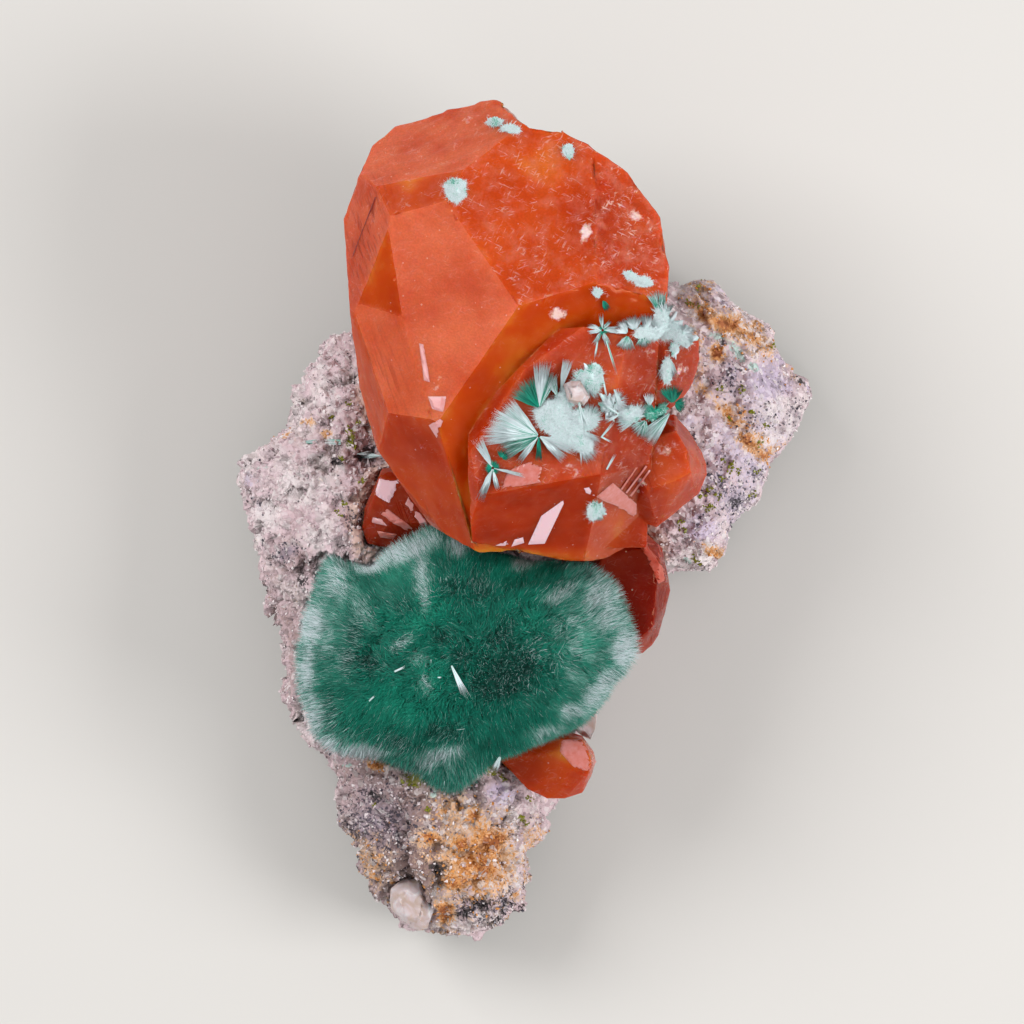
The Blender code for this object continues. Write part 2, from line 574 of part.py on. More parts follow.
def slab_mesh(outline, spacing, depths, upper, lower, wall_steps, wall_roughness=0.0):
    """Closed body between an upper and a lower height, with a wall around it."""
    outline = finer_outline(outline, spacing)
    count = len(outline)
    places = places_in(outline, spacing, depths)
    rim = [(number, (number + 1) % count) for number in range(count)]
    found = geometry.delaunay_2d_cdt([Vector(place) for place in places], rim, [], 1, 1e-6)
    flat_places = found[0]
    triangles = found[2]
    source = found[3]
    mesh = bmesh.new()
    top = [mesh.verts.new((*place, upper(*place))) for place in flat_places]
    bottom = [mesh.verts.new((*place, lower(*place))) for place in flat_places]
    for triangle in triangles:
        mesh.faces.new([top[corner] for corner in triangle])
        mesh.faces.new([bottom[corner] for corner in reversed(triangle)])
    corner_of = {origin: number for number, origins in enumerate(source) for origin in origins}
    rows = [[top[corner_of[number]] for number in range(count)]]
    for step in range(1, wall_steps):
        row = []
        for number in range(count):
            high = top[corner_of[number]].co
            low = bottom[corner_of[number]].co
            place = high.lerp(low, step / wall_steps)
            run = (Vector(outline[(number + 1) % count]) - Vector(outline[number - 1])).normalized()
            push = wall_roughness * (noise.noise(place / WALL_LUMP_SIZE) - WALL_LEAN_IN)
            row.append(mesh.verts.new((place.x + push * run.y, place.y - push * run.x, place.z)))
        rows.append(row)
    rows.append([bottom[corner_of[number]] for number in range(count)])
    for high_row, low_row in zip(rows, rows[1:]):
        for number in range(count):
            after = (number + 1) % count
            mesh.faces.new([high_row[after], high_row[number], low_row[number], low_row[after]])
    bmesh.ops.triangulate(mesh, faces=mesh.faces)
    bmesh.ops.recalc_face_normals(mesh, faces=mesh.faces)
    return mesh


def break_depth(breaks, x, y):
    """How deep the flat breaks cut at a place."""
    depth = 0.0
    for towards, distance, slope in breaks:
        turn = math.radians(towards)
        past = x * math.cos(turn) + y * math.sin(turn) - distance
        depth = max(depth, slope * past)
    return depth


def matrix_upper(x, y):
    """Upper height of the rock."""
    height = MATRIX_BASE_HEIGHT
    for place, reach, rise in MATRIX_SWELLS:
        height += rise * swell(place, x, y, reach)
    for size, rise, level in MATRIX_LUMPS:
        height += rise * roughness_at(x, y, size, level)
    edge = 1.0 - min(distance_inside(MATRIX_OUTLINE, x, y) / MATRIX_EDGE_REACH, 1.0)
    return height - MATRIX_EDGE_DROP * edge * edge - break_depth(MATRIX_UPPER_BREAKS, x, y)


def matrix_lower(x, y):
    """Lower height of the rock: a flat break to rest on, hollows, and broken edges."""
    away = max(0.0, math.dist((x, y), MATRIX_REST_CENTRE) - MATRIX_REST_RADIUS)
    fade = min(away / MATRIX_REST_FADE, 1.0)
    dip = max(0.0, roughness_at(x, y, MATRIX_HOLLOW_SIZE, 2.0) + MATRIX_HOLLOW_SHARE)
    edge = 1.0 - min(distance_inside(MATRIX_OUTLINE, x, y) / MATRIX_REST_REACH, 1.0)
    rough_edge = 1.0 + 0.7 * roughness_at(x, y, 2.0, 9.0)
    lower = MATRIX_HOLLOW_DEPTH * fade * dip + MATRIX_REST_RISE * rough_edge * edge ** 1.5
    lower += break_depth(MATRIX_LOWER_BREAKS, x, y)
    return min(lower, matrix_upper(x, y) - MATRIX_LEAST_THICKNESS)


def mat_upper(x, y):
    """Upper height of the malachite mat: a low cushion with a few lobes."""
    edge = 1.0 - min(distance_inside(MAT_OUTLINE, x, y) / MAT_EDGE_REACH, 1.0)
    lobes = MAT_LOBE_RISE * roughness_at(x, y, MAT_LOBE_SIZE, 1.0)
    return MAT_TOP + MAT_SLOPE * (x - MAT_MIDDLE_X) + lobes - MAT_EDGE_DROP * edge ** 2.2


def mat_lower(x, y):
    """Lower height of the mat, which rises where the mat reaches past the rock."""
    return MAT_UNDERSIDE + max(0.0, MAT_OVERHANG_SLOPE * (x - MAT_OVERHANG_START))


def mat_mesh(grow):
    """The mat, or a larger copy of it to cut its bed in the rock."""
    outline = grown_outline(MAT_OUTLINE, grow)
    return slab_mesh(outline, MAT_SPACING, MAT_RINGS, lambda x, y: mat_upper(x, y) + grow,
                     lambda x, y: mat_lower(x, y) - grow, MAT_WALL_STEPS)


def spray_mesh(outline, rise):
    """Low mound of a spray, which follows the crystals under it."""
    def upper(x, y):
        middle = min(distance_inside(outline, x, y) / SPRAY_EDGE_REACH, 1.0)
        return levels_near(x, y, SPRAY_STEP_REACH)[1] + SPRAY_EDGE_RISE + rise * middle

    def lower(x, y):
        return levels_near(x, y, SPRAY_STEP_REACH)[0] - SPRAY_TUCK

    return slab_mesh(outline, SPRAY_SPACING, SPRAY_RINGS, upper, lower, 1)


def blade_mesh(grow):
    """Pale needle bundle that lies on the rock at the left."""
    outline = grown_outline(BLADE_OUTLINE, grow)
    return slab_mesh(outline, SPRAY_SPACING, (), lambda x, y: BLADE_TOP + grow,
                     lambda x, y: BLADE_UNDERSIDE - grow, 1)


def new_object(name, mesh, finish=None):
    """Object of a mesh that is in millimetres."""
    bmesh.ops.scale(mesh, vec=(MM, MM, MM), verts=mesh.verts)
    data = bpy.data.meshes.new(name)
    mesh.to_mesh(data)
    mesh.free()
    made = bpy.data.objects.new(name, data)
    bpy.context.collection.objects.link(made)
    if finish:
        data.materials.append(finish)
    return made


def combine(target, meshes, operation):
    """Join bodies to a target, or cut them out of it, with exact Booleans."""
    tools = []
    for mesh in meshes:
        tool = new_object("tool", mesh)
        step = target.modifiers.new(operation, "BOOLEAN")
        step.operation = operation
        step.solver = "EXACT"
        step.object = tool
        tools.append(tool)
    depsgraph = bpy.context.evaluated_depsgraph_get()
    result = bpy.data.meshes.new_from_object(target.evaluated_get(depsgraph))
    target.modifiers.clear()
    target.data = result
    for tool in tools:
        bpy.data.objects.remove(tool, do_unlink=True)
    keep_largest_body(target)
    return target


def keep_largest_body(thing):
    """Drop the loose crumbs that a cut left beside the main body."""
    mesh = bmesh.new()
    mesh.from_mesh(thing.data)
    unseen = set(mesh.verts)
    bodies = []
    while unseen:
        body = set()
        waiting = [min(unseen, key=lambda vert: vert.index)]
        while waiting:
            vert = waiting.pop()
            if vert in body:
                continue
            body.add(vert)
            waiting.extend(edge.other_vert(vert) for edge in vert.link_edges)
        unseen -= body
        bodies.append(body)
    bodies.sort(key=len)
    for body in bodies[:-1]:
        bmesh.ops.delete(mesh, geom=list(body), context="VERTS")
    mesh.to_mesh(thing.data)
    mesh.free()


def grown(bodies):
    """Copies of crystals that are larger by the gap all round, to cut their neighbours with."""
    return [crystal_mesh(faces, GAP) for faces in bodies]


def main():
    """Build the specimen."""
    removed_scene_objects()
    orange = material("orange_crystal", (0.55, 0.08, 0.01), 0.25, transmission=0.3, ior=1.6)
    red = material("red_crystal", (0.40, 0.03, 0.01), 0.2, transmission=0.3, ior=1.6)
    pale = material("pale_crystal", (0.75, 0.62, 0.60), 0.3, transmission=0.2, ior=1.5)
    green = material("malachite_needles", (0.01, 0.14, 0.07), 0.6)
    mint = material("malachite_pale", (0.35, 0.62, 0.52), 0.7)
    rock = material("matrix_rock", (0.55, 0.38, 0.38), 0.85)

    cluster = new_object("crystal_cluster", crystal_mesh(CLUSTER[0]), orange)
    combine(cluster, [crystal_mesh(notch_faces())], "DIFFERENCE")
    combine(cluster, [crystal_mesh(faces) for faces in CLUSTER[1:]], "UNION")

    loose = {
        "left_small_crystal": (left_small_crystal_faces(), red),
        "lower_small_crystal": (lower_small_crystal_faces(), orange),
        "pale_wedge": (pale_wedge_faces(), pale),
        "pale_crystal": (pale_crystal_faces(), pale),
    }
    for name, (faces, finish) in loose.items():
        body = new_object(name, crystal_mesh(faces), finish)
        combine(body, grown(CLUSTER), "DIFFERENCE")
    neighbours = CLUSTER + [faces for faces, finish in loose.values()]
    combine(bpy.data.objects["pale_wedge"], grown([lower_small_crystal_faces()]), "DIFFERENCE")

    mat = new_object("malachite_mat", mat_mesh(0.0), green)
    combine(mat, grown(neighbours), "DIFFERENCE")

    chip = pink_chip_faces()
    new_object("pink_chip", crystal_mesh(chip), pale)
    for name, (outline, rise) in SPRAYS.items():
        spray = new_object(name, spray_mesh(outline, rise), mint if "patch" in name else green)
        combine(spray, grown(CLUSTER + [chip]), "DIFFERENCE")
    new_object("needle_blade", blade_mesh(0.0), mint)

    slab = slab_mesh(MATRIX_OUTLINE, MATRIX_SPACING, MATRIX_RINGS, matrix_upper, matrix_lower,
                     MATRIX_WALL_STEPS, MATRIX_WALL_ROUGHNESS)
    matrix = new_object("matrix", slab, rock)
    combine(matrix, grown(neighbours) + [mat_mesh(GAP), blade_mesh(GAP)], "DIFFERENCE")


main()
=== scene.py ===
"""Looks of the malachite specimen: needle malachite on orange-red crystals and rock.

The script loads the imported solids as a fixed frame, and dresses each of them:
the crystals get bevelled edges, growth steps and scratches, the rock gets its
grains and stains, and the malachite gets its needles. Shapes are worked out in
millimetres, in the frame of the solids, and turned to metres once, when an
object is made. The specimen lies on its back, and the camera looks down on it.
"""
import math

import bmesh
import bpy
import numpy as np
from bpy.props import FloatProperty, FloatVectorProperty, IntProperty, PointerProperty
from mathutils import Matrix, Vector
from mathutils.bvhtree import BVHTree
from mathutils.kdtree import KDTree


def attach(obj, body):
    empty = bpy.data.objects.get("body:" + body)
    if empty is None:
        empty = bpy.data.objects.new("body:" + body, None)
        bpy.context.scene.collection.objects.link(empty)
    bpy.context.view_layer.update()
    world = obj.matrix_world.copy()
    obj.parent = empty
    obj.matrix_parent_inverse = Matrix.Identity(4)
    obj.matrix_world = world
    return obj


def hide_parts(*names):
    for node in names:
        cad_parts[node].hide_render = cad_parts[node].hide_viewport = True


bl_info = {
    "name": "Malachite specimen",
    "version": (1, 0, 0),
    "blender": (4, 5, 0),
    "location": "View3D > Sidebar > Specimen",
    "description": "Builds the looks of a needle malachite specimen around its solids",
    "category": "Add Mesh",
}

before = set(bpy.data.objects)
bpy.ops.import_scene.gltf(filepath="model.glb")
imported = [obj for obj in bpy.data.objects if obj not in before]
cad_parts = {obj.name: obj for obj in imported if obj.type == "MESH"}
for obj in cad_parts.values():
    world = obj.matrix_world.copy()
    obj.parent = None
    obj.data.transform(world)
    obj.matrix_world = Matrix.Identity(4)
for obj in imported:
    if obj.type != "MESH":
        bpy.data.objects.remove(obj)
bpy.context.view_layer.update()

MM = 0.001

# The photo's frame: its width in millimetres at the height of the specimen's front,
# and the place in the middle of it
VIEW_WIDTH = 61.44
VIEW_CENTRE = (-0.76, 0.74)
VIEW_HEIGHT = 16.0
SENSOR_WIDTH = 36.0


# Tools

def linear(hex_text):
    """Linear colour of an sRGB hex value."""
    values = [int(hex_text[number:number + 2], 16) / 255 for number in (1, 3, 5)]
    return tuple(value / 12.92 if value <= 0.04045 else ((value + 0.055) / 1.055) ** 2.4
                 for value in values)


def per_metre(size_mm):
    """Texture scale that gives a pattern this size, in millimetres."""
    return 1.0 / (size_mm * MM)


def add_node(tree, kind, inputs=None, stops=None, **settings):
    """Add a node with its settings, its inputs and its colour stops.

    An input that is given as a node is linked to the first output of that node, and
    a colour is given as its red, green and blue.
    """
    made = tree.nodes.new("ShaderNode" + kind)
    for name, value in settings.items():
        setattr(made, name, value)
    for socket, value in (inputs or {}).items():
        if isinstance(value, bpy.types.Node):
            value = value.outputs[0]
        target = made.inputs[socket]
        if isinstance(value, bpy.types.NodeSocket):
            tree.links.new(value, target)
        else:
            target.default_value = (*value, 1.0) if target.type == "RGBA" else value
    for number, (place, colour) in enumerate(stops or []):
        elements = made.color_ramp.elements
        element = elements[number] if number < 2 else elements.new(place)
        element.position = place
        element.color = (*colour, 1.0)
    return made


def new_material(name):
    """Empty node material, and its tree."""
    made = bpy.data.materials.new(name)
    made.use_nodes = True
    made.node_tree.nodes.clear()
    return made, made.node_tree


# Noise in numpy, over points in millimetres

def hashed(cells, seed):
    """Numbers from 0 to 1 that belong to whole-number cells."""
    mixed = cells[..., 0] * 73856093 ^ cells[..., 1] * 19349663 ^ cells[..., 2] * 83492791
    mixed = (mixed ^ (seed * 2654435761)) & 0x7FFFFFFF
    mixed = ((mixed >> 13) ^ mixed) * 1274126177 & 0x7FFFFFFF
    mixed = ((mixed >> 15) ^ mixed) * 374761393 & 0x7FFFFFFF
    return ((mixed >> 7) & 0xFFFF) / 65535.0


def noise_at(points, size, seed):
    """Smooth noise from about -1 to 1, with features of a size."""
    scaled = np.asarray(points) / size
    cells = np.floor(scaled).astype(np.int64)
    part = scaled - cells
    ease = part * part * part * (part * (part * 6 - 15) + 10)
    total = np.zeros(len(scaled))
    for number in range(8):
        corner = np.array([number & 1, number >> 1 & 1, number >> 2 & 1])
        cell = cells + corner
        away = part - corner
        lean = np.stack([hashed(cell, seed + shift) * 2 - 1 for shift in (0, 101, 202)], axis=-1)
        weight = np.prod(np.where(corner, ease, 1 - ease), axis=-1)
        total += weight * np.sum(lean * away, axis=-1)
    return total * 1.5


def layered_noise(points, size, seed, layers=3):
    """Noise with finer and weaker noise added."""
    total = np.zeros(len(points))
    for layer in range(layers):
        total += 0.5 ** layer * noise_at(points, size * 0.5 ** layer, seed + 17 * layer)
    return total


def grains_at(points, size, seed):
    """Grains of a size: distances to the nearest centre and the next, its number, and the way from it."""
    scaled = np.asarray(points) / size
    cells = np.floor(scaled).astype(np.int64)
    nearest = np.full(len(scaled), 9.0)
    second = np.full(len(scaled), 9.0)
    number = np.zeros(len(scaled))
    way = np.zeros((len(scaled), 3))
    for east in (-1, 0, 1):
        for north in (-1, 0, 1):
            for up in (-1, 0, 1):
                cell = cells + np.array([east, north, up])
                centre = cell + np.stack([hashed(cell, seed + shift) for shift in (1, 2, 3)], axis=-1)
                away = scaled - centre
                distance = np.linalg.norm(away, axis=-1)
                closer = distance < nearest
                second = np.where(closer, nearest, np.minimum(second, distance))
                nearest = np.where(closer, distance, nearest)
                number = np.where(closer, hashed(cell, seed + 4), number)
                way[closer] = away[closer]
    return nearest * size, second * size, number, way * size


def eased(value, low, high):
    """Smooth step from 0 at `low` to 1 at `high`."""
    part = np.clip((value - low) / (high - low), 0.0, 1.0)
    return part * part * (3 - 2 * part)


def turned(east, north, degrees):
    """Measures to the east and the north, turned by an angle."""
    cos = math.cos(math.radians(degrees))
    sin = math.sin(math.radians(degrees))
    return east * cos - north * sin, east * sin + north * cos


def spots_at(points, spots):
    """Strength of soft oval spots at points seen from above."""
    total = np.zeros(len(points))
    for x, y, long, across, turn, strength in spots:
        along, aside = turned(points[:, 0] - x, points[:, 1] - y, -turn)
        total = np.maximum(total, strength * np.exp(-((along / long) ** 2 + (aside / across) ** 2)))
    return total


def noise_ways(points, size, seeds):
    """Smooth noise in three directions, each from its own seed."""
    return np.stack([noise_at(points, size, seed) for seed in seeds], axis=1)


def unit(vectors):
    """Vectors brought to length one."""
    return vectors / np.maximum(np.linalg.norm(vectors, axis=-1, keepdims=True), 1e-12)


def joined(rows):
    """The arrays of several rows, put together column by column."""
    return [np.concatenate(column) for column in zip(*rows)]


# Meshes in numpy: points, triangles, and the group of each triangle

# How close points are that become one, in millimetres, how level faces are that become
# one, and how often triangles are split at most
WELD = 0.003
FLAT_ANGLE = math.radians(0.6)
MOST_SPLITS = 24

# A height over the whole specimen, and the direction in which it is looked at
ABOVE = 60.0
DOWN = Vector((0.0, 0.0, -1.0))


def solid_of(node):
    """A CAD node's mesh in millimetres, welded, with each flat face whole."""
    mesh = bmesh.new()
    mesh.from_mesh(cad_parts[node].data)
    bmesh.ops.scale(mesh, vec=(1 / MM,) * 3, verts=mesh.verts)
    bmesh.ops.remove_doubles(mesh, verts=mesh.verts, dist=WELD)
    bmesh.ops.dissolve_limit(mesh, angle_limit=FLAT_ANGLE, verts=mesh.verts, edges=mesh.edges)
    return mesh


def triangulated(mesh):
    """Cut a mesh into triangles, and give its points and triangles."""
    bmesh.ops.triangulate(mesh, faces=mesh.faces)
    mesh.verts.index_update()
    points = np.array([vert.co for vert in mesh.verts])
    return points, np.array([[vert.index for vert in face.verts] for face in mesh.faces])


def tree_of(*nodes):
    """Search tree, in millimetres, over the faces of CAD nodes together."""
    points, faces = [], []
    for node in nodes:
        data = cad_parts[node].data
        start = len(points)
        points += [vert.co / MM for vert in data.vertices]
        faces += [[start + number for number in face.vertices] for face in data.polygons]
    return BVHTree.FromPolygons(points, faces)


def surface_tree(points, triangles):
    """Search tree over triangles."""
    return BVHTree.FromPolygons([Vector(point) for point in points], triangles.tolist())


def seen_from_above(tree, x, y):
    """Place, direction and number of the face that is seen from above at x and y."""
    return tree.ray_cast(Vector((x, y, ABOVE)), DOWN)[:3]


def height_at(tree, x, y, missing=None):
    """Height of what is seen from above at x and y, or the value for nothing there."""
    hit = seen_from_above(tree, x, y)[0]
    return missing if hit is None else hit.z


def nearest_tree(points, numbers):
    """Search tree for the nearest of the points that have these numbers."""
    tree = KDTree(len(numbers))
    for number in numbers:
        tree.insert(points[number], number)
    tree.balance()
    return tree


def refined(points, triangles, group, longest_edges):
    """Split triangles until no edge is longer than its groups allow.

    The longest edges are listed by group, and group -1 takes the last of them.
    """
    for _ in range(MOST_SPLITS):
        sides = np.sort(triangles[:, [[0, 1], [1, 2], [2, 0]]], axis=-1).reshape(-1, 2)
        edges, place = np.unique(sides, axis=0, return_inverse=True)
        middle = points[edges].mean(axis=1)
        longest = np.full(len(edges), np.inf)
        np.minimum.at(longest, place.ravel(), np.repeat(longest_edges[group], 3))
        split = np.linalg.norm(points[edges[:, 0]] - points[edges[:, 1]], axis=1) > longest
        if not split.any():
            break
        number = np.full(len(edges), -1)
        number[split] = len(points) + np.arange(split.sum())
        points = np.vstack([points, middle[split]])
        mids = number[place].reshape(-1, 3)
        count = (mids >= 0).sum(axis=1)
        first = np.where(count == 1, np.argmax(mids >= 0, axis=1), 0)
        first = np.where(count == 2, (np.argmax(mids < 0, axis=1) + 1) % 3, first)
        turn = (first[:, None] + np.arange(3)) % 3
        a, b, c = np.take_along_axis(triangles, turn, axis=1).T
        ab, bc, ca = np.take_along_axis(mids, turn, axis=1).T
        parts = [(count == 0, (a, b, c)), (count == 1, (a, ab, c)), (count == 1, (ab, b, c)),
                 (count == 2, (ab, b, bc)), (count == 2, (a, ab, bc)), (count == 2, (a, bc, c)),
                 (count == 3, (a, ab, ca)), (count == 3, (ab, b, bc)), (count == 3, (ca, bc, c)),
                 (count == 3, (ab, bc, ca))]
        triangles = np.vstack([np.stack(corners, axis=1)[chosen] for chosen, corners in parts])
        group = np.concatenate([group[chosen] for chosen, corners in parts])
    return points, triangles, group


def evened(points, triangles, group, rounds):
    """Even out the points inside flat faces, so that the triangles are alike."""
    lowest = np.full(len(points), 1 << 30)
    highest = np.full(len(points), -(1 << 30))
    for corner in range(3):
        np.minimum.at(lowest, triangles[:, corner], group)
        np.maximum.at(highest, triangles[:, corner], group)
    inner = (lowest == highest) & (lowest >= 0)
    sides = np.sort(triangles[:, [[0, 1], [1, 2], [2, 0]]], axis=-1).reshape(-1, 2)
    edges = np.unique(sides, axis=0)
    ends = np.concatenate([edges[:, 0], edges[:, 1]])
    others = np.concatenate([edges[:, 1], edges[:, 0]])
    count = np.bincount(ends, minlength=len(points))[:, None]
    for _ in range(rounds):
        total = np.stack([np.bincount(ends, points[others, axis], len(points)) for axis in range(3)],
                         axis=1)
        points = np.where(inner[:, None], 0.5 * points + 0.5 * total / count, points)
    return points


def fine_mesh(node, longest, rounds):
    """A CAD node's mesh with no edge longer than a length, evened out, as points and triangles."""
    mesh = solid_of(node)
    points, triangles = triangulated(mesh)
    mesh.free()
    whole = np.zeros(len(triangles), dtype=int)
    points, triangles, whole = refined(points, triangles, whole, np.array([longest]))
    return evened(points, triangles, whole, rounds), triangles


def facings_of(points, triangles):
    """Direction that each triangle looks in, as long as twice its area."""
    a, b, c = (points[triangles[:, corner]] for corner in range(3))
    return np.cross(b - a, c - a)


def normals_of(points, triangles):
    """Direction that the surface looks in at each point."""
    facing = facings_of(points, triangles)
    total = np.zeros_like(points)
    for corner in range(3):
        for axis in range(3):
            total[:, axis] += np.bincount(triangles[:, corner], facing[:, axis], len(points))
    return unit(total)


def new_object(name, points, triangles, material, replaced=(), values=None, smooth=True):
    """Object of a mesh in millimetres, that rides on the specimen and stands for CAD nodes."""
    data = bpy.data.meshes.new(name)
    data.vertices.add(len(points))
    data.vertices.foreach_set("co", (np.asarray(points) * MM).astype(np.float32).ravel())
    data.loops.add(3 * len(triangles))
    data.loops.foreach_set("vertex_index", np.asarray(triangles).astype(np.int32).ravel())
    data.polygons.add(len(triangles))
    data.polygons.foreach_set("loop_start", np.arange(0, 3 * len(triangles), 3, dtype=np.int32))
    data.polygons.foreach_set("use_smooth", np.full(len(triangles), smooth))
    data.update(calc_edges=True)
    for key, value in (values or {}).items():
        layer = data.attributes.new(key, "FLOAT", "POINT")
        layer.data.foreach_set("value", np.asarray(value).astype(np.float32))
    made = bpy.data.objects.new(name, data)
    bpy.context.scene.collection.objects.link(made)
    data.materials.append(material)
    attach(made, "root")
    if replaced:
        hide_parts(*replaced)
    return made


# Crystals

# Faces of the crystals that show: a place on each, seen from above, then how satin it is (and so how
# much painted sheen it shows), how frosted and how stepped it is, and how much light shines through it,
# which is painted into its colour as a lighter body
CRYSTAL_FACES = {
    "central": ((-4.6, 13.5), 0.75, 0.15, 0.15, 0.55),
    "top": ((-4.0, 23.2), 0.9, 0.25, 1.0, 0.5),
    "upper_band": ((-6.4, 19.6), 0.3, 0.4, 0.4, 0.6),
    "upper_right": ((0.8, 19.6), 0.15, 0.7, 0.2, 0.6),
    "far_right": ((6.4, 17.4), 0.2, 1.0, 0.2, 0.5),
    "far_left": ((-9.6, 17.0), 0.6, 0.2, 0.6, 0.45),
    "upper_left": ((-8.7, 13.2), 0.0, 0.05, 0.0, 0.62),
    "lower_left": ((-8.0, 9.0), 0.75, 0.15, 0.5, 0.6),
    "left_strip": ((-9.5, 8.6), 0.1, 0.1, 0.0, 0.6),
    "bottom_left": ((-6.2, 3.4), 0.1, 0.1, 0.1, 0.45),
    "lower_right": ((-3.4, 6.0), 0.0, 0.05, 0.0, 0.65),
    "front": ((0.6, 4.0), 0.35, 0.5, 0.6, 0.4),
    "front_lower": ((0.9, 0.3), 0.0, 0.05, 0.0, 0.35),
    "front_right": ((6.2, 6.4), 0.2, 0.7, 0.5, 0.3),
    "front_corner": ((5.9, 0.7), 0.3, 0.3, 0.3, 0.45),
    "knob_front": ((7.0, 9.3), 0.2, 0.5, 0.2, 0.3),
    "right_front": ((9.0, 4.0), 0.25, 0.3, 0.2, 0.5),
    "deep_red": ((6.0, -4.0), 0.0, 0.1, 0.1, 0.1),
}

# Soft oval spots on the crystals: x and y of the middle, half sizes along and across in
# millimetres, turn in degrees, and strength. Rough outline, white frosting, deep red, fine lines,
# and painted glow where light would shine through thin parts
CRYSTAL_SPOTS = {
    "rough": (
        (3.0, 20.0, 5.5, 4.0, -30, 1.0), (7.0, 16.5, 2.0, 3.5, 0, 1.0), (-3.0, 24.4, 5.0, 1.2, 15, 0.8),
        (-9.6, 19.5, 1.6, 3.0, 0, 0.5), (-9.8, 9.0, 1.2, 3.0, 0, 0.35), (7.8, 5.0, 2.0, 3.5, 0, 0.4),
    ),
    "dusty": (
        (3.6, 17.3, 0.5, 0.8, -10, 1.3), (6.6, 18.3, 0.6, 0.5, 0, 1.1), (1.9, 12.5, 0.7, 0.6, 0, 1.2),
        (-5.3, 8.0, 0.45, 2.2, -8, 0.75), (-1.9, 15.0, 0.5, 2.6, 25, 0.6), (0.9, 17.2, 1.6, 2.6, 0, 0.5),
        (4.3, 13.7, 2.2, 1.8, 0, 0.6), (-2.4, 24.2, 3.2, 0.9, 12, 0.6), (-0.3, 2.9, 1.5, 0.7, 12, 1.0),
        (2.6, 3.2, 1.3, 0.7, 0, 0.8), (8.4, 4.3, 1.5, 1.3, 0, 0.75), (6.9, 2.4, 0.5, 1.3, 0, 0.8),
        (7.3, 10.3, 0.8, 0.6, 0, 0.7), (9.3, 9.2, 0.8, 1.1, 0, 0.8), (7.5, -1.8, 0.6, 0.9, 0, 0.6),
        (5.6, 5.0, 1.8, 2.0, 0, 0.5), (-9.3, 17.5, 0.6, 2.4, -12, 0.35),
        (-6.5, 21.0, 3.5, 0.5, 10, 0.45), (3.4, 21.0, 3.2, 0.7, -38, 0.55),
    ),
    "lined": (
        (-9.6, 17.0, 1.1, 3.6, -15, 1.2), (-8.4, 8.8, 1.4, 3.2, 0, 0.7), (6.6, 2.6, 0.9, 1.6, -10, 1.1),
        (-7.0, 0.6, 1.6, 1.0, 0, 0.8), (8.2, 4.5, 1.4, 1.4, 0, 0.4), (4.8, 3.6, 1.2, 1.2, 0, 0.5),
    ),
    "painted_glow": (
        (0.5, -1.75, 3.6, 0.4, -2, 0.5), (5.7, 0.2, 0.5, 1.8, -20, 0.4),
        (-0.9, 8.9, 0.9, 3.2, -38, 0.25), (-9.5, 12.6, 0.5, 2.5, -16, 0.1),
        (8.9, 2.4, 0.7, 1.5, 20, 0.2), (2.0, -13.9, 1.6, 0.8, 0, 0.3), (1.0, 21.2, 3.0, 0.9, -15, 0.14),
        (5.2, 8.2, 0.8, 0.9, 0, 0.3), (-6.9, 20.0, 1.0, 0.8, 0, 0.3), (-9.0, 3.9, 0.6, 2.5, 25, 0.25),
        (-4.2, 4.0, 1.2, 2.6, 10, 0.15), (3.4, -14.2, 1.2, 0.4, 20, 0.3),
    ),
    "crimson": (
        (7.0, -4.6, 2.4, 3.4, 0, 1.3), (6.2, 3.0, 1.6, 1.8, 0, 0.7), (8.0, 9.5, 1.8, 1.6, 0, 0.6),
        (5.5, 17.5, 3.0, 2.5, 0, 0.3), (4.5, 5.0, 2.0, 1.5, 0, 0.6),
    ),
}
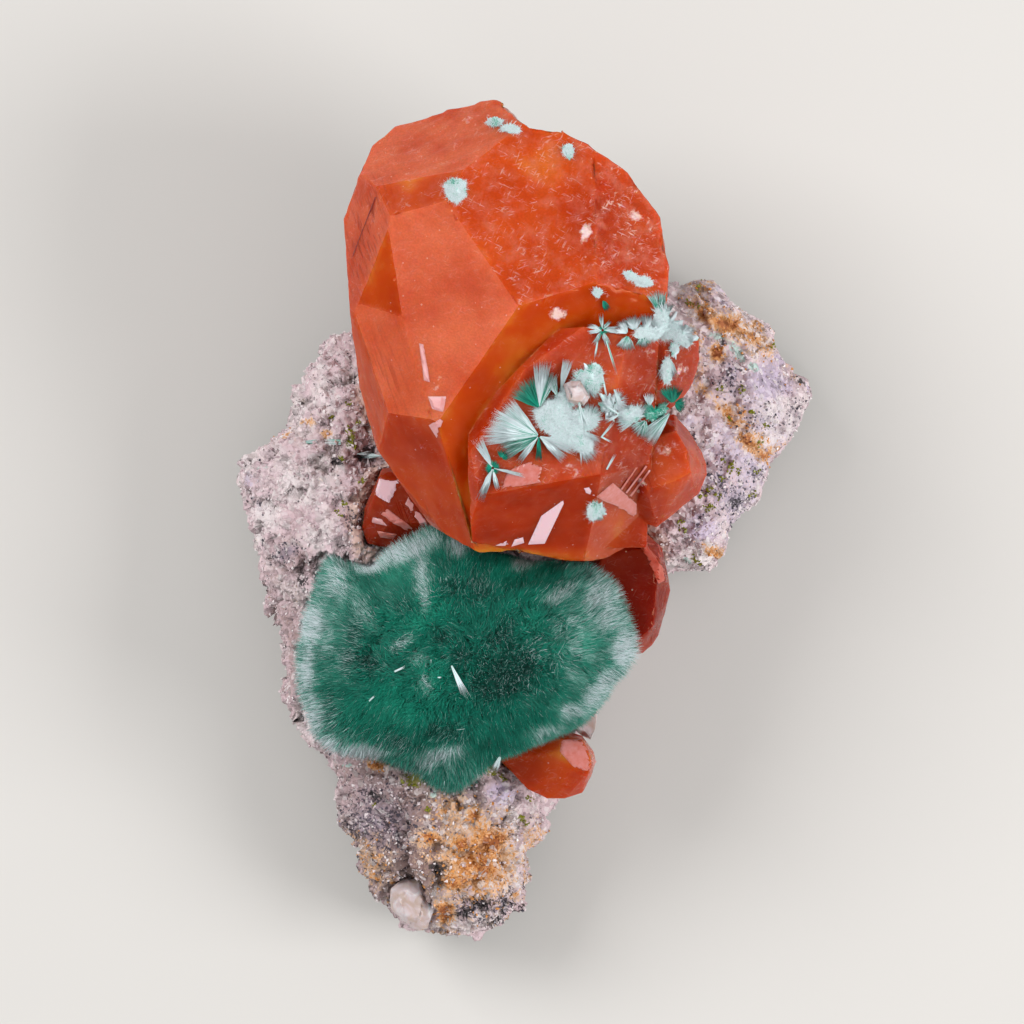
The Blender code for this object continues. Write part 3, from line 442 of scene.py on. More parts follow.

# Growth plates and broken facets on the crystals that catch the light: their corners, seen
# from above, and how pale they are, which is how much painted reflection of the lamp they show
PLATES = (
    (((0.98, 0.5), (2.48, 1.58), (1.19, -1.15), (0.2, -1.2)), 1.0),
    (((4.25, 1.64), (5.24, 2.48), (6.68, 1.22), (6.68, 0.38)), 0.35),
    (((3.06, 2.02), (3.86, 2.29), (4.16, 1.7)), 0.9),
    (((-1.75, -1.26), (-1.06, -0.97), (-0.95, -1.3)), 0.8),
    (((-0.8, -1.33), (-0.6, -0.9), (-0.1, -0.77), (-0.04, -1.1)), 0.9),
    (((-6.28, 10.76), (-5.98, 10.7), (-5.62, 8.42), (-5.98, 8.54)), 0.5),
    (((-5.74, 7.58), (-4.66, 7.58), (-4.78, 6.62), (-5.5, 6.86)), 0.5),
    (((-5.7, 5.87), (-4.74, 6.44), (-5.22, 5.12)), 0.55),
    (((-8.75, 2.75), (-7.36, 2.66), (-8.14, 1.22), (-9.04, 1.76)), 1.0),
    (((-7.1, 1.9), (-5.7, -0.1), (-6.2, -0.2), (-7.3, 1.3)), 0.5),
    (((2.18, -12.94), (2.06, -13.63), (2.96, -14.68), (3.92, -14.86), (4.34, -14.32),
      (3.56, -12.94)), 0.32),
    (((6.74, -0.94), (8.12, -1.24), (8.6, -3.4), (8.06, -3.58)), 0.12),
    (((-1.47, 2.05), (-1.0, 3.17), (0.37, 3.8), (1.06, 3.4), (0.95, 2.5)), 0.3),
    (((6.0, 1.9), (6.1, 1.85), (7.3, 3.45), (7.2, 3.5)), 0.4),
    (((6.25, 1.7), (6.36, 1.65), (7.5, 3.2), (7.4, 3.25)), 0.35),
    (((5.7, 2.1), (5.8, 2.05), (6.8, 3.5), (6.7, 3.55)), 0.3),
    (((-8.9, 19.5), (-8.82, 19.45), (-10.24, 15.9), (-10.34, 15.9)), -0.4),
    (((-8.3, 1.0), (-6.6, -0.3), (-7.1, -0.5), (-8.7, 0.6)), 0.35),
    (((-9.3, 0.5), (-8.5, 0.3), (-8.3, -0.1), (-9.2, 0.1)), 0.6),
    (((-8.9, -0.4), (-7.6, -0.6), (-7.9, -0.9), (-8.7, -0.8)), 0.3),
)

# How satin, frosted, stepped and lit through a face is that isn't listed
PLAIN_LOOK = (0.1, 0.2, 0.05, 0.4)
SATIN, FROST, STEPPED, GLOW = range(4)

# Faces lie in one plane when their directions and distances are this close
SAME_DIRECTION = 0.99995
SAME_DISTANCE = 0.03

# Distances in millimetres between points along the edges and on the bright plates
EDGE_SPACING = 0.15
PLATE_SPACING = 0.35

# Scratches and growth lines: directions in degrees, length in millimetres, and form as
# length, width and depth against that length
SCRATCH_TURNS = (62.0, -28.0, 15.0)
STROKE_SIZE = 0.7
STROKE_FORM = (1.0, 0.16, 0.5)
GROWTH_LINE_SIZE = 2.4
GROWTH_LINE_FORM = (1.0, 0.07, 0.25)


def planes_of(mesh):
    """Number each face by the plane it lies in."""
    layer = mesh.faces.layers.int.new("plane")
    known = []
    for face in mesh.faces:
        offset = face.normal.dot(face.calc_center_median())
        for number, (normal, distance) in enumerate(known):
            if normal.dot(face.normal) > SAME_DIRECTION and abs(distance - offset) < SAME_DISTANCE:
                face[layer] = number
                break
        else:
            face[layer] = len(known)
            known.append((face.normal.copy(), offset))
    return layer


def bevelled(node, width, least_angle=8.0, shortest=0.12):
    """A crystal solid with its sharp edges bevelled, as points, triangles and planes."""
    mesh = solid_of(node)
    bmesh.ops.remove_doubles(mesh, verts=mesh.verts, dist=shortest)
    layer = planes_of(mesh)
    sharp = [edge for edge in mesh.edges if math.degrees(edge.calc_face_angle(0.0)) > least_angle]
    bmesh.ops.bevel(mesh, geom=sharp, offset=width, offset_type="OFFSET", segments=2, profile=0.6,
                    clamp_overlap=False, affect="EDGES", material=1)
    for face in mesh.faces:
        if face.material_index == 1:
            face[layer] = -1
    points, triangles = triangulated(mesh)
    planes = np.array([face[layer] for face in mesh.faces])
    mesh.free()
    return points, triangles, planes


def edge_distances(points, triangles, planes):
    """Distance from each point to the bevelled edges of its crystal."""
    middles = points[triangles[planes < 0]].mean(axis=1)
    edges = np.unique(np.round(middles / EDGE_SPACING), axis=0) * EDGE_SPACING
    tree = nearest_tree(edges, range(len(edges)))
    return np.array([tree.find(point)[2] for point in points])


def steps_of(value, softness):
    """Stairs of a value, one high and one wide, with soft risers."""
    whole = np.floor(value)
    return whole + eased(value - whole, 1.0 - softness, 1.0)


def in_face(normal):
    """Two directions that lie in a face: along it level, and up its slope."""
    level = unit(np.cross([0.0, 0.0, 1.0], normal))
    return level, np.cross(normal, level)


def named_planes(points, triangles, planes, faces):
    """Plane number of each named face: the plane that is seen from above at its place."""
    tree = surface_tree(points, triangles)
    return {name: planes[seen_from_above(tree, *place)[2]] for name, (place, *_) in faces.items()}


def spread(value, triangles, count, chosen):
    """Value of the triangles at each point, as the mean over the chosen ones around it."""
    total = np.zeros(count)
    weight = np.zeros(count)
    for corner in range(3):
        total += np.bincount(triangles[chosen, corner], value[chosen], count)
        weight += np.bincount(triangles[chosen, corner], minlength=count)
    return total / np.maximum(weight, 1e-9), weight


def filled(values, known, points):
    """Values at all points: their own where they are known, or else those of the nearest known point."""
    tree = nearest_tree(points, np.flatnonzero(known))
    return values[[number if known[number] else tree.find(point)[1]
                   for number, point in enumerate(points)]]


def face_looks(points, triangles, planes, found, faces):
    """How satin, frosted and lit through the crystal is at each point."""
    table = np.tile(PLAIN_LOOK, (planes.max() + 1, 1))
    for face, (_, *look) in faces.items():
        table[found[face]] = look
    looks, weight = zip(*(spread(table[planes, column], triangles, len(points), planes >= 0)
                          for column in (SATIN, FROST, GLOW)))
    return filled(np.stack(looks, axis=1), weight[0] > 0, points).T


def crystal_piece(name, node, faces, material, settings, least_rough):
    """Detailed crystal in place of a CAD node, with bevels, growth steps, pits and chips."""
    points, triangles, planes = bevelled(node, settings.edge_width / MM)
    facing = unit(facings_of(points, triangles))
    normals = np.zeros((planes.max() + 1, 3))
    normals[planes[planes >= 0]] = facing[planes >= 0]
    found = named_planes(points, triangles, planes, faces)
    up = normals[:, 2]
    coarser = np.append(np.select([up > 0.2, up > -0.2], [1.0, 1.6], 4.0), 1.5)
    points, triangles, planes = refined(points, triangles, planes, coarser * settings.spacing / MM)
    points = evened(points, triangles, planes, 6)
    rim = edge_distances(points, triangles, planes)
    satin, frost, glow = face_looks(points, triangles, planes, found, faces)
    normal = normals_of(points, triangles)
    rough = np.maximum(spots_at(points, CRYSTAL_SPOTS["rough"]), least_rough)
    relief = 0.05 * noise_at(points, 2.6, 5)
    relief += (0.15 + frost) * (0.07 * noise_at(points, 0.9, 11) + 0.05 * noise_at(points, 0.4, 12))
    for face, plane in found.items():
        stepped = faces[face][1 + STEPPED]
        if stepped > 0:
            share, _ = spread((planes == plane).astype(float), triangles, len(points), planes >= 0)
            level, slope = in_face(normals[plane])
            here = points[share > 0.5]
            rise = here @ slope / (settings.step_width / MM)
            rise += 1.1 * noise_at(here, 5.0, 31) + 0.5 * noise_at(here, 1.7, 32) + 0.12 * here @ level
            relief[share > 0.5] += stepped * settings.step_height / MM * (steps_of(rise, 0.2) - rise)
    chips = eased(noise_at(points, 0.9, 41), 0.1, 0.5) * (1 - eased(rim, 0.0, 0.25))
    worn = (0.26 * noise_at(points, 1.5, 42) + 0.15 * noise_at(points, 0.6, 43)) * rough
    worn *= 1 - 0.7 * eased(rim, 0.0, 1.2)
    relief = relief * eased(rim, 0.02, 0.3) - 0.1 * chips * (0.4 + rough) + worn - 0.05 * rough
    points = points + normal * relief[:, None]
    values = {"satin": satin, "frost": frost, "glow": glow, "rim": rim}
    for key in ("dusty", "crimson", "lined", "painted_glow"):
        values[key] = spots_at(points, CRYSTAL_SPOTS[key])
    new_object(name, points, triangles, material, (node,), values)


def scratches_on(tree, place):
    """Strength of short scratches in three directions, broken along their length."""
    strokes = []
    for turn in SCRATCH_TURNS:
        drawn_out = add_node(tree, "Mapping", {
            "Vector": place, "Rotation": (0.0, 0.0, math.radians(turn)), "Scale": STROKE_FORM},
            vector_type="TEXTURE")
        strokes.append(add_node(tree, "TexNoise", {
            "Vector": drawn_out, "Scale": per_metre(STROKE_SIZE), "Detail": 2.0}))
    pair = add_node(tree, "Math", {0: strokes[0], 1: strokes[1]}, operation="MAXIMUM")
    strongest = add_node(tree, "Math", {0: pair, 1: strokes[2]}, operation="MAXIMUM")
    lines = add_node(tree, "MapRange", {"Value": strongest, "From Min": 0.61, "From Max": 0.7})
    broken = add_node(tree, "TexNoise", {"Vector": place, "Scale": per_metre(0.8), "Detail": 4.0})
    share = add_node(tree, "MapRange", {"Value": broken, "From Min": 0.45, "From Max": 0.62})
    return add_node(tree, "Math", {0: lines, 1: share}, operation="MULTIPLY")


def frosting_on(tree, place, dusty):
    """Strength of the white frosting, a ragged crust where the crystal is dusty."""
    crust = add_node(tree, "TexNoise", {
        "Vector": place, "Scale": per_metre(0.45), "Detail": 4.0, "Roughness": 0.65})
    frosting = add_node(tree, "Math", {0: crust, 1: 1.6, 2: -0.95}, operation="MULTIPLY_ADD")
    frosted = add_node(tree, "Math", {0: frosting, 1: dusty}, operation="ADD")
    return add_node(tree, "MapRange", {
        "Value": frosted, "From Min": 0.55, "From Max": 0.95, "To Max": 0.9})


def pits_on(tree, place):
    """Small round etch pits of uneven size, one where they are."""
    dots = add_node(tree, "TexVoronoi", {"Vector": place, "Scale": per_metre(0.36)})
    parts = add_node(tree, "SeparateColor", {"Color": dots.outputs["Color"]})
    size = add_node(tree, "MapRange", {
        "Value": parts.outputs["Red"], "From Min": 0.75, "From Max": 1.0, "To Min": 0.0, "To Max": 0.17})
    return add_node(tree, "Math", {0: dots, 1: size}, operation="LESS_THAN")


def growth_lines_on(tree, place, lined, turn):
    """Strength of the fine dark growth lines, all in one direction, where the crystal is lined."""
    drawn_out = add_node(tree, "Mapping", {
        "Vector": place, "Rotation": (0.0, 0.0, turn), "Scale": GROWTH_LINE_FORM}, vector_type="TEXTURE")
    lining = add_node(tree, "TexNoise", {
        "Vector": drawn_out, "Scale": per_metre(GROWTH_LINE_SIZE), "Detail": 3.0})
    share = add_node(tree, "MapRange", {"Value": lining, "From Min": 0.5, "From Max": 0.66})
    return add_node(tree, "Math", {0: share, 1: lined}, operation="MULTIPLY", use_clamp=True)


def grown_crystal(name, settings, redness):
    """Crystal grown from solution, gemmy to satin.

    Clear inside, so light glows through thin edges, and more glow is painted near them. The faces
    are glassy where they grew undisturbed, and satin or frosted where they were etched; the satin
    faces carry a painted sheen of the soft lights.
    """
    made, tree = new_material(name)
    place = add_node(tree, "TexCoord").outputs["Object"]
    satin, frost, glow, rim, dusty, crimson, lined, painted_glow = (
        add_node(tree, "Attribute", attribute_name=key).outputs["Fac"]
        for key in ("satin", "frost", "glow", "rim", "dusty", "crimson", "lined", "painted_glow"))

    clouds = add_node(tree, "TexNoise", {"Vector": place, "Scale": per_metre(3.2), "Detail": 3.0})
    cloudy = add_node(tree, "Math", {0: clouds, 1: 0.9, 2: -0.45}, operation="MULTIPLY_ADD")
    # Painted glow: the body colour is lighter within 0.3 mm of the bevelled edges, as if light shone
    # through the thin edges
    painted_edge_glow = add_node(tree, "MapRange", {
        "Value": rim, "From Min": 0.0, "From Max": 0.3, "To Min": 0.12, "To Max": 0.0})
    # The faces' glow and the painted glow spots make the body lighter, as painted light shining through
    # the crystal
    shining = add_node(tree, "Math", {0: glow, 1: painted_glow}, operation="ADD")
    lit = add_node(tree, "Math", {0: shining, 1: cloudy}, operation="ADD")
    tone = add_node(tree, "Math", {0: lit, 1: painted_edge_glow}, operation="ADD")
    body = add_node(tree, "ValToRGB", {"Fac": tone}, stops=[
        (0.0, settings.deep), (0.4, settings.middle), (0.75, settings.bright), (1.0, settings.shine)])
    reds = add_node(tree, "Math", {0: crimson, 1: redness}, operation="MAXIMUM", use_clamp=True)
    reddened = add_node(tree, "MixRGB", {
        "Fac": reds, "Color1": body, "Color2": settings.red})

    marked = add_node(tree, "Math", {0: scratches_on(tree, place), 1: frost},
                      operation="MULTIPLY")
    dust = frosting_on(tree, place, dusty)
    pits = pits_on(tree, place)
    dark_lines = growth_lines_on(tree, place, lined, settings.line_turn)

    grain = add_node(tree, "TexNoise", {"Vector": place, "Scale": per_metre(0.13), "Detail": 2.0})
    matt = add_node(tree, "Math", {0: satin, 1: frost}, operation="MAXIMUM")
    # Painted sheen: satin faces take a pale salmon colour, in patches, where they would mirror the soft
    # lights
    patchy_sheen = add_node(tree, "MapRange", {
        "Value": clouds, "From Min": 0.35, "From Max": 0.65, "To Min": 0.6, "To Max": 1.35})
    sheen = add_node(tree, "Math", {0: satin, 1: patchy_sheen}, operation="MULTIPLY")
    mottle = add_node(tree, "TexNoise", {"Vector": place, "Scale": per_metre(0.9), "Detail": 5.0,
                                                   "Roughness": 0.6})
    mottled = add_node(tree, "MapRange", {
        "Value": mottle, "From Min": 0.45, "From Max": 0.7, "To Max": 0.6})
    hazy = add_node(tree, "Math", {0: frost, 1: 0.1}, operation="MAXIMUM")
    pinkish = add_node(tree, "Math", {0: mottled, 1: hazy}, operation="MULTIPLY")
    # The first colour laid on is the painted sheen; frost, scratches, dust and pits are marks of the
    # crystal
    colour = reddened
    for share, most, over in (
            (sheen, settings.satin_sheen, settings.satin), (pinkish, 0.8, settings.frost),
            (marked, 0.6, settings.scratch), (dust, 1.0, settings.scratch),
            (pits, 0.35, settings.scratch)):
        mask = add_node(tree, "Math", {0: share, 1: most}, operation="MULTIPLY", use_clamp=True)
        colour = add_node(tree, "MixRGB", {
            "Fac": mask, "Color1": colour, "Color2": over})
    # Painted glints: fine flecks of the satin and frosted faces made a little brighter or darker, as if
    # the grain caught the light
    glint_flecks = add_node(tree, "MapRange", {
        "Value": grain, "From Min": 0.3, "From Max": 0.7, "To Min": 0.86, "To Max": 1.08})
    speckled = add_node(tree, "MixRGB", {
        "Fac": matt, "Color1": colour, "Color2": glint_flecks}, blend_type="MULTIPLY")
    line_share = add_node(tree, "Math", {0: dark_lines, 1: 0.55}, operation="MULTIPLY")
    surface = add_node(tree, "MixRGB", {
        "Fac": line_share, "Color1": speckled, "Color2": settings.deep})

    whitened = add_node(tree, "Math", {0: matt, 1: dust}, operation="MAXIMUM")
    rough = add_node(tree, "MapRange", {
        "Value": whitened, "To Min": 0.1, "To Max": settings.satin_roughness})
    ripples = add_node(tree, "TexNoise", {"Vector": place, "Scale": per_metre(0.6), "Detail": 4.0})
    height = add_node(tree, "Math", {0: grain, 1: ripples}, operation="ADD")
    shaped = add_node(tree, "Math", {0: matt, 1: 0.85, 2: 0.15}, operation="MULTIPLY_ADD")
    bump_height = add_node(tree, "Math", {0: height, 1: shaped}, operation="MULTIPLY")
    grooved = add_node(tree, "Math", {0: dark_lines, 1: -1.2, 2: bump_height},
                       operation="MULTIPLY_ADD")
    scratched = add_node(tree, "Math", {0: grooved, 1: marked}, operation="ADD")
    bump = add_node(tree, "Bump", {
        "Height": scratched, "Strength": 0.7, "Distance": 0.04 * MM})

    clear = add_node(tree, "MapRange", {
        "Value": whitened, "To Min": settings.clearness, "To Max": settings.clearness * 0.3})
    shader = add_node(tree, "BsdfPrincipled", {
        "Base Color": surface, "Roughness": rough, "Normal": bump,
        "Transmission Weight": clear, "IOR": 1.65, "Specular IOR Level": 0.12,
        "Specular Tint": (1.0, 0.5, 0.3),
        "Subsurface Weight": 0.8, "Subsurface Radius": (1.0, 0.22, 0.04), "Subsurface Scale": 1.8 * MM})
    inside = add_node(tree, "VolumeAbsorption", {
        "Color": settings.inside, "Density": settings.inside_density})
    add_node(tree, "OutputMaterial", {"Surface": shader, "Volume": inside})
    return made


def cloudy_crystal(name, settings):
    """Cloudy quartz, white with a pink cast and fine cracks inside, so it is milky more than clear."""
    made, tree = new_material(name)
    place = add_node(tree, "TexCoord").outputs["Object"]
    veil = add_node(tree, "TexNoise", {"Vector": place, "Scale": per_metre(0.9), "Detail": 5.0,
                                                 "Distortion": 1.2})
    colour = add_node(tree, "ValToRGB", {"Fac": veil}, stops=[
        (0.35, settings.cloud), (0.55, settings.milk), (0.7, settings.snow)])
    bump = add_node(tree, "Bump", {
        "Height": veil, "Strength": 0.6, "Distance": 0.08 * MM})
    shader = add_node(tree, "BsdfPrincipled", {
        "Base Color": colour, "Roughness": 0.28, "Normal": bump, "IOR": 1.54,
        "Transmission Weight": 0.25, "Subsurface Weight": 0.5, "Subsurface Radius": (1.0, 0.8, 0.7),
        "Subsurface Scale": 0.8 * MM})
    add_node(tree, "OutputMaterial", {"Surface": shader})
    return made


def bright_facet(name, settings):
    """Flat growth face or cleavage of the crystals that mirrors the lamp, with pits."""
    made, tree = new_material(name)
    place = add_node(tree, "TexCoord").outputs["Object"]
    pale = add_node(tree, "Attribute", attribute_name="pale")
    pits = add_node(tree, "TexNoise", {"Vector": place, "Scale": per_metre(0.3), "Detail": 4.0})
    worn = add_node(tree, "Math", {0: pits, 1: 0.4, 2: -0.2}, operation="MULTIPLY_ADD")
    share = add_node(tree, "Math", {0: pale.outputs["Fac"], 1: worn}, operation="ADD")
    # Painted reflection: the plates are coloured from deep orange to pink white as if they mirrored the
    # lamp
    colour = add_node(tree, "ValToRGB", {"Fac": share}, stops=[
        (0.0, settings.deep), (0.06, settings.middle), (0.25, settings.faint_reflection), (0.95, settings.mirror)])
    shader = add_node(tree, "BsdfPrincipled", {
        "Base Color": colour, "Roughness": 0.3, "IOR": 1.65, "Subsurface Weight": 0.3,
        "Subsurface Radius": (1.0, 0.3, 0.2), "Subsurface Scale": 0.5 * MM})
    add_node(tree, "OutputMaterial", {"Surface": shader})
    return made


def size_setting(name, description, size_mm):
    """A length that a user can change, kept in metres as Blender does, from its value in millimetres."""
    return FloatProperty(name=name, description=description, default=size_mm * MM, min=0.0,
                         precision=5, subtype="DISTANCE", unit="LENGTH")


def colour_setting(name, description, hex_text):
    """A colour that a user can change, from its sRGB hex value."""
    return FloatVectorProperty(name=name, description=description, default=linear(hex_text),
                               min=0.0, max=1.0, size=3, subtype="COLOR")


class CrystalSettings(bpy.types.PropertyGroup):
    """Sizes and colours of the crystals."""
    edge_width: size_setting("Edge width", "Width of the bevel on a crystal edge", 0.06)
    spacing: size_setting("Mesh spacing", "Longest mesh edge on the faces that show", 0.3)
    step_width: size_setting("Step width", "Distance between growth steps", 1.1)
    step_height: size_setting("Step height", "Height of a growth step", 0.07)
    deep: colour_setting("Deep colour", "Red-brown of thick crystal", "#8C1400")
    middle: colour_setting("Middle colour", "Orange-red of the crystal bodies", "#C03400")
    bright: colour_setting("Bright colour", "Orange of clear crystal", "#D85008")
    shine: colour_setting("Shine colour", "Orange of thin edges that light shines through", "#E8822A")
    red: colour_setting("Red colour", "Deep red of the lower crystals", "#860A00")
    # The satin colour is a painted sheen: the soft lights mirrored in the satin faces
    satin: colour_setting("Satin colour", "Salmon film of the satin faces", "#EA8464")
    frost: colour_setting("Frost colour", "Pinkish red of the frosted faces", "#E08E7A")
    scratch: colour_setting("Scratch colour", "Pinkish white of scratches and pits", "#FBE6E0")
    # Painted faint reflection of the lamp on facets that catch little light
    faint_reflection: colour_setting("Glaze colour", "Facets that catch little light", "#CC6A5A")
    mirror: colour_setting("Mirror colour", "Pink white of the facets that catch the light", "#F6CBD4")
    cloud: colour_setting("Cloud colour", "Tan parts of the cloudy quartz", "#D8BFB2")
    milk: colour_setting("Milk colour", "Body of the cloudy quartz", "#E9D6D8")
    snow: colour_setting("Snow colour", "White cracks in the cloudy quartz", "#FBF3F4")
    inside: colour_setting("Inside colour", "Colour that light takes on inside", "#FF7A18")
    inside_density: FloatProperty(
        name="Inside density", description="Absorption inside the crystals, per metre",
        default=450.0, min=0.0)
    # Share of the painted sheen on the satin faces
    satin_sheen: FloatProperty(
        name="Satin film", description="How much of the satin colour shows", default=0.5, min=0.0, max=1.0)
    satin_roughness: FloatProperty(
        name="Satin roughness", description="Roughness of the satin faces", default=0.42, min=0.0, max=1.0)
    line_turn: FloatProperty(
        name="Line turn", description="Direction of the growth lines",
        default=math.radians(-69.0), subtype="ANGLE", unit="ROTATION")
    plate_height: size_setting("Plate height", "Height of the bright plates on the faces", 0.04)
    clearness: FloatProperty(
        name="Clearness", description="Share of light that goes through clear faces",
        default=0.3, min=0.0, max=1.0)


class SPECIMEN_OT_crystals(bpy.types.Operator):
    """Build the orange-red crystals, the small crystals in the rock, and their bright facets"""
    bl_idname = "specimen.crystals"
    bl_label = "Crystals"

    def execute(self, context):
        settings = context.scene.specimen_crystals
        orange = grown_crystal("orange_crystal_grown", settings, 0.0)
        red = grown_crystal("red_crystal_grown", settings, 0.6)
        cloudy = cloudy_crystal("cloudy_quartz", settings)
        for name, node, faces, material, slot, least_rough in (
                ("orange_crystals", "crystal_cluster", CRYSTAL_FACES, orange, "orange_crystal", 0.2),
                ("lower_crystal", "lower_small_crystal", {}, orange, "orange_crystal", 0.2),
                ("left_crystal", "left_small_crystal", {}, red, "red_crystal", 0.2),
                ("pale_rock_crystal", "pale_crystal", {}, cloudy, "pale_crystal", 0.8),
                ("pale_wedge_crystal", "pale_wedge", {}, cloudy, "pale_crystal", 0.2),
                ("pink_chip_crystal", "pink_chip", {}, cloudy, "pale_crystal", 1.0)):
            crystal_piece(name, node, faces, material, settings, least_rough)
        self.plates(bright_facet("bright_crystal_facet", settings), settings)
        return {"FINISHED"}

    def plates(self, material, settings):
        """Thin plates that follow the faces below them."""
        tree = tree_of("crystal_cluster", "left_small_crystal", "lower_small_crystal")
        points, triangles, pale = [], [], []
        for corners, paleness in PLATES:
            flat = np.array([(*corner, 0.0) for corner in corners])
            fan = np.array([[0, number, number + 1] for number in range(1, len(corners) - 1)])
            if np.cross(flat[1] - flat[0], flat[2] - flat[0])[2] < 0:
                fan = fan[:, ::-1]
            here, faces, _ = refined(flat, fan, np.zeros(len(fan), dtype=int), np.array([PLATE_SPACING]))
            ends = np.roll(flat, -1, axis=0) - flat
            inner = np.min([np.abs(np.cross(end, here - start)[:, 2]) / np.linalg.norm(end)
                            for start, end in zip(flat, ends)], axis=0)
            heights = [height_at(tree, *point[:2]) for point in here]
            lowest = min(height for height in heights if height is not None)
            heights = np.array([lowest if height is None else height for height in heights])
            here[:, 2] = heights + settings.plate_height / MM * np.where(inner < 0.01, -0.8, 1.0)
            triangles.append(faces + sum(len(part) for part in points))
            points.append(here)
            pale.append(np.full(len(here), paleness))
        new_object("bright_facets", np.vstack(points), np.vstack(triangles), material,
                   values={"pale": np.concatenate(pale)}, smooth=False)


# Rock

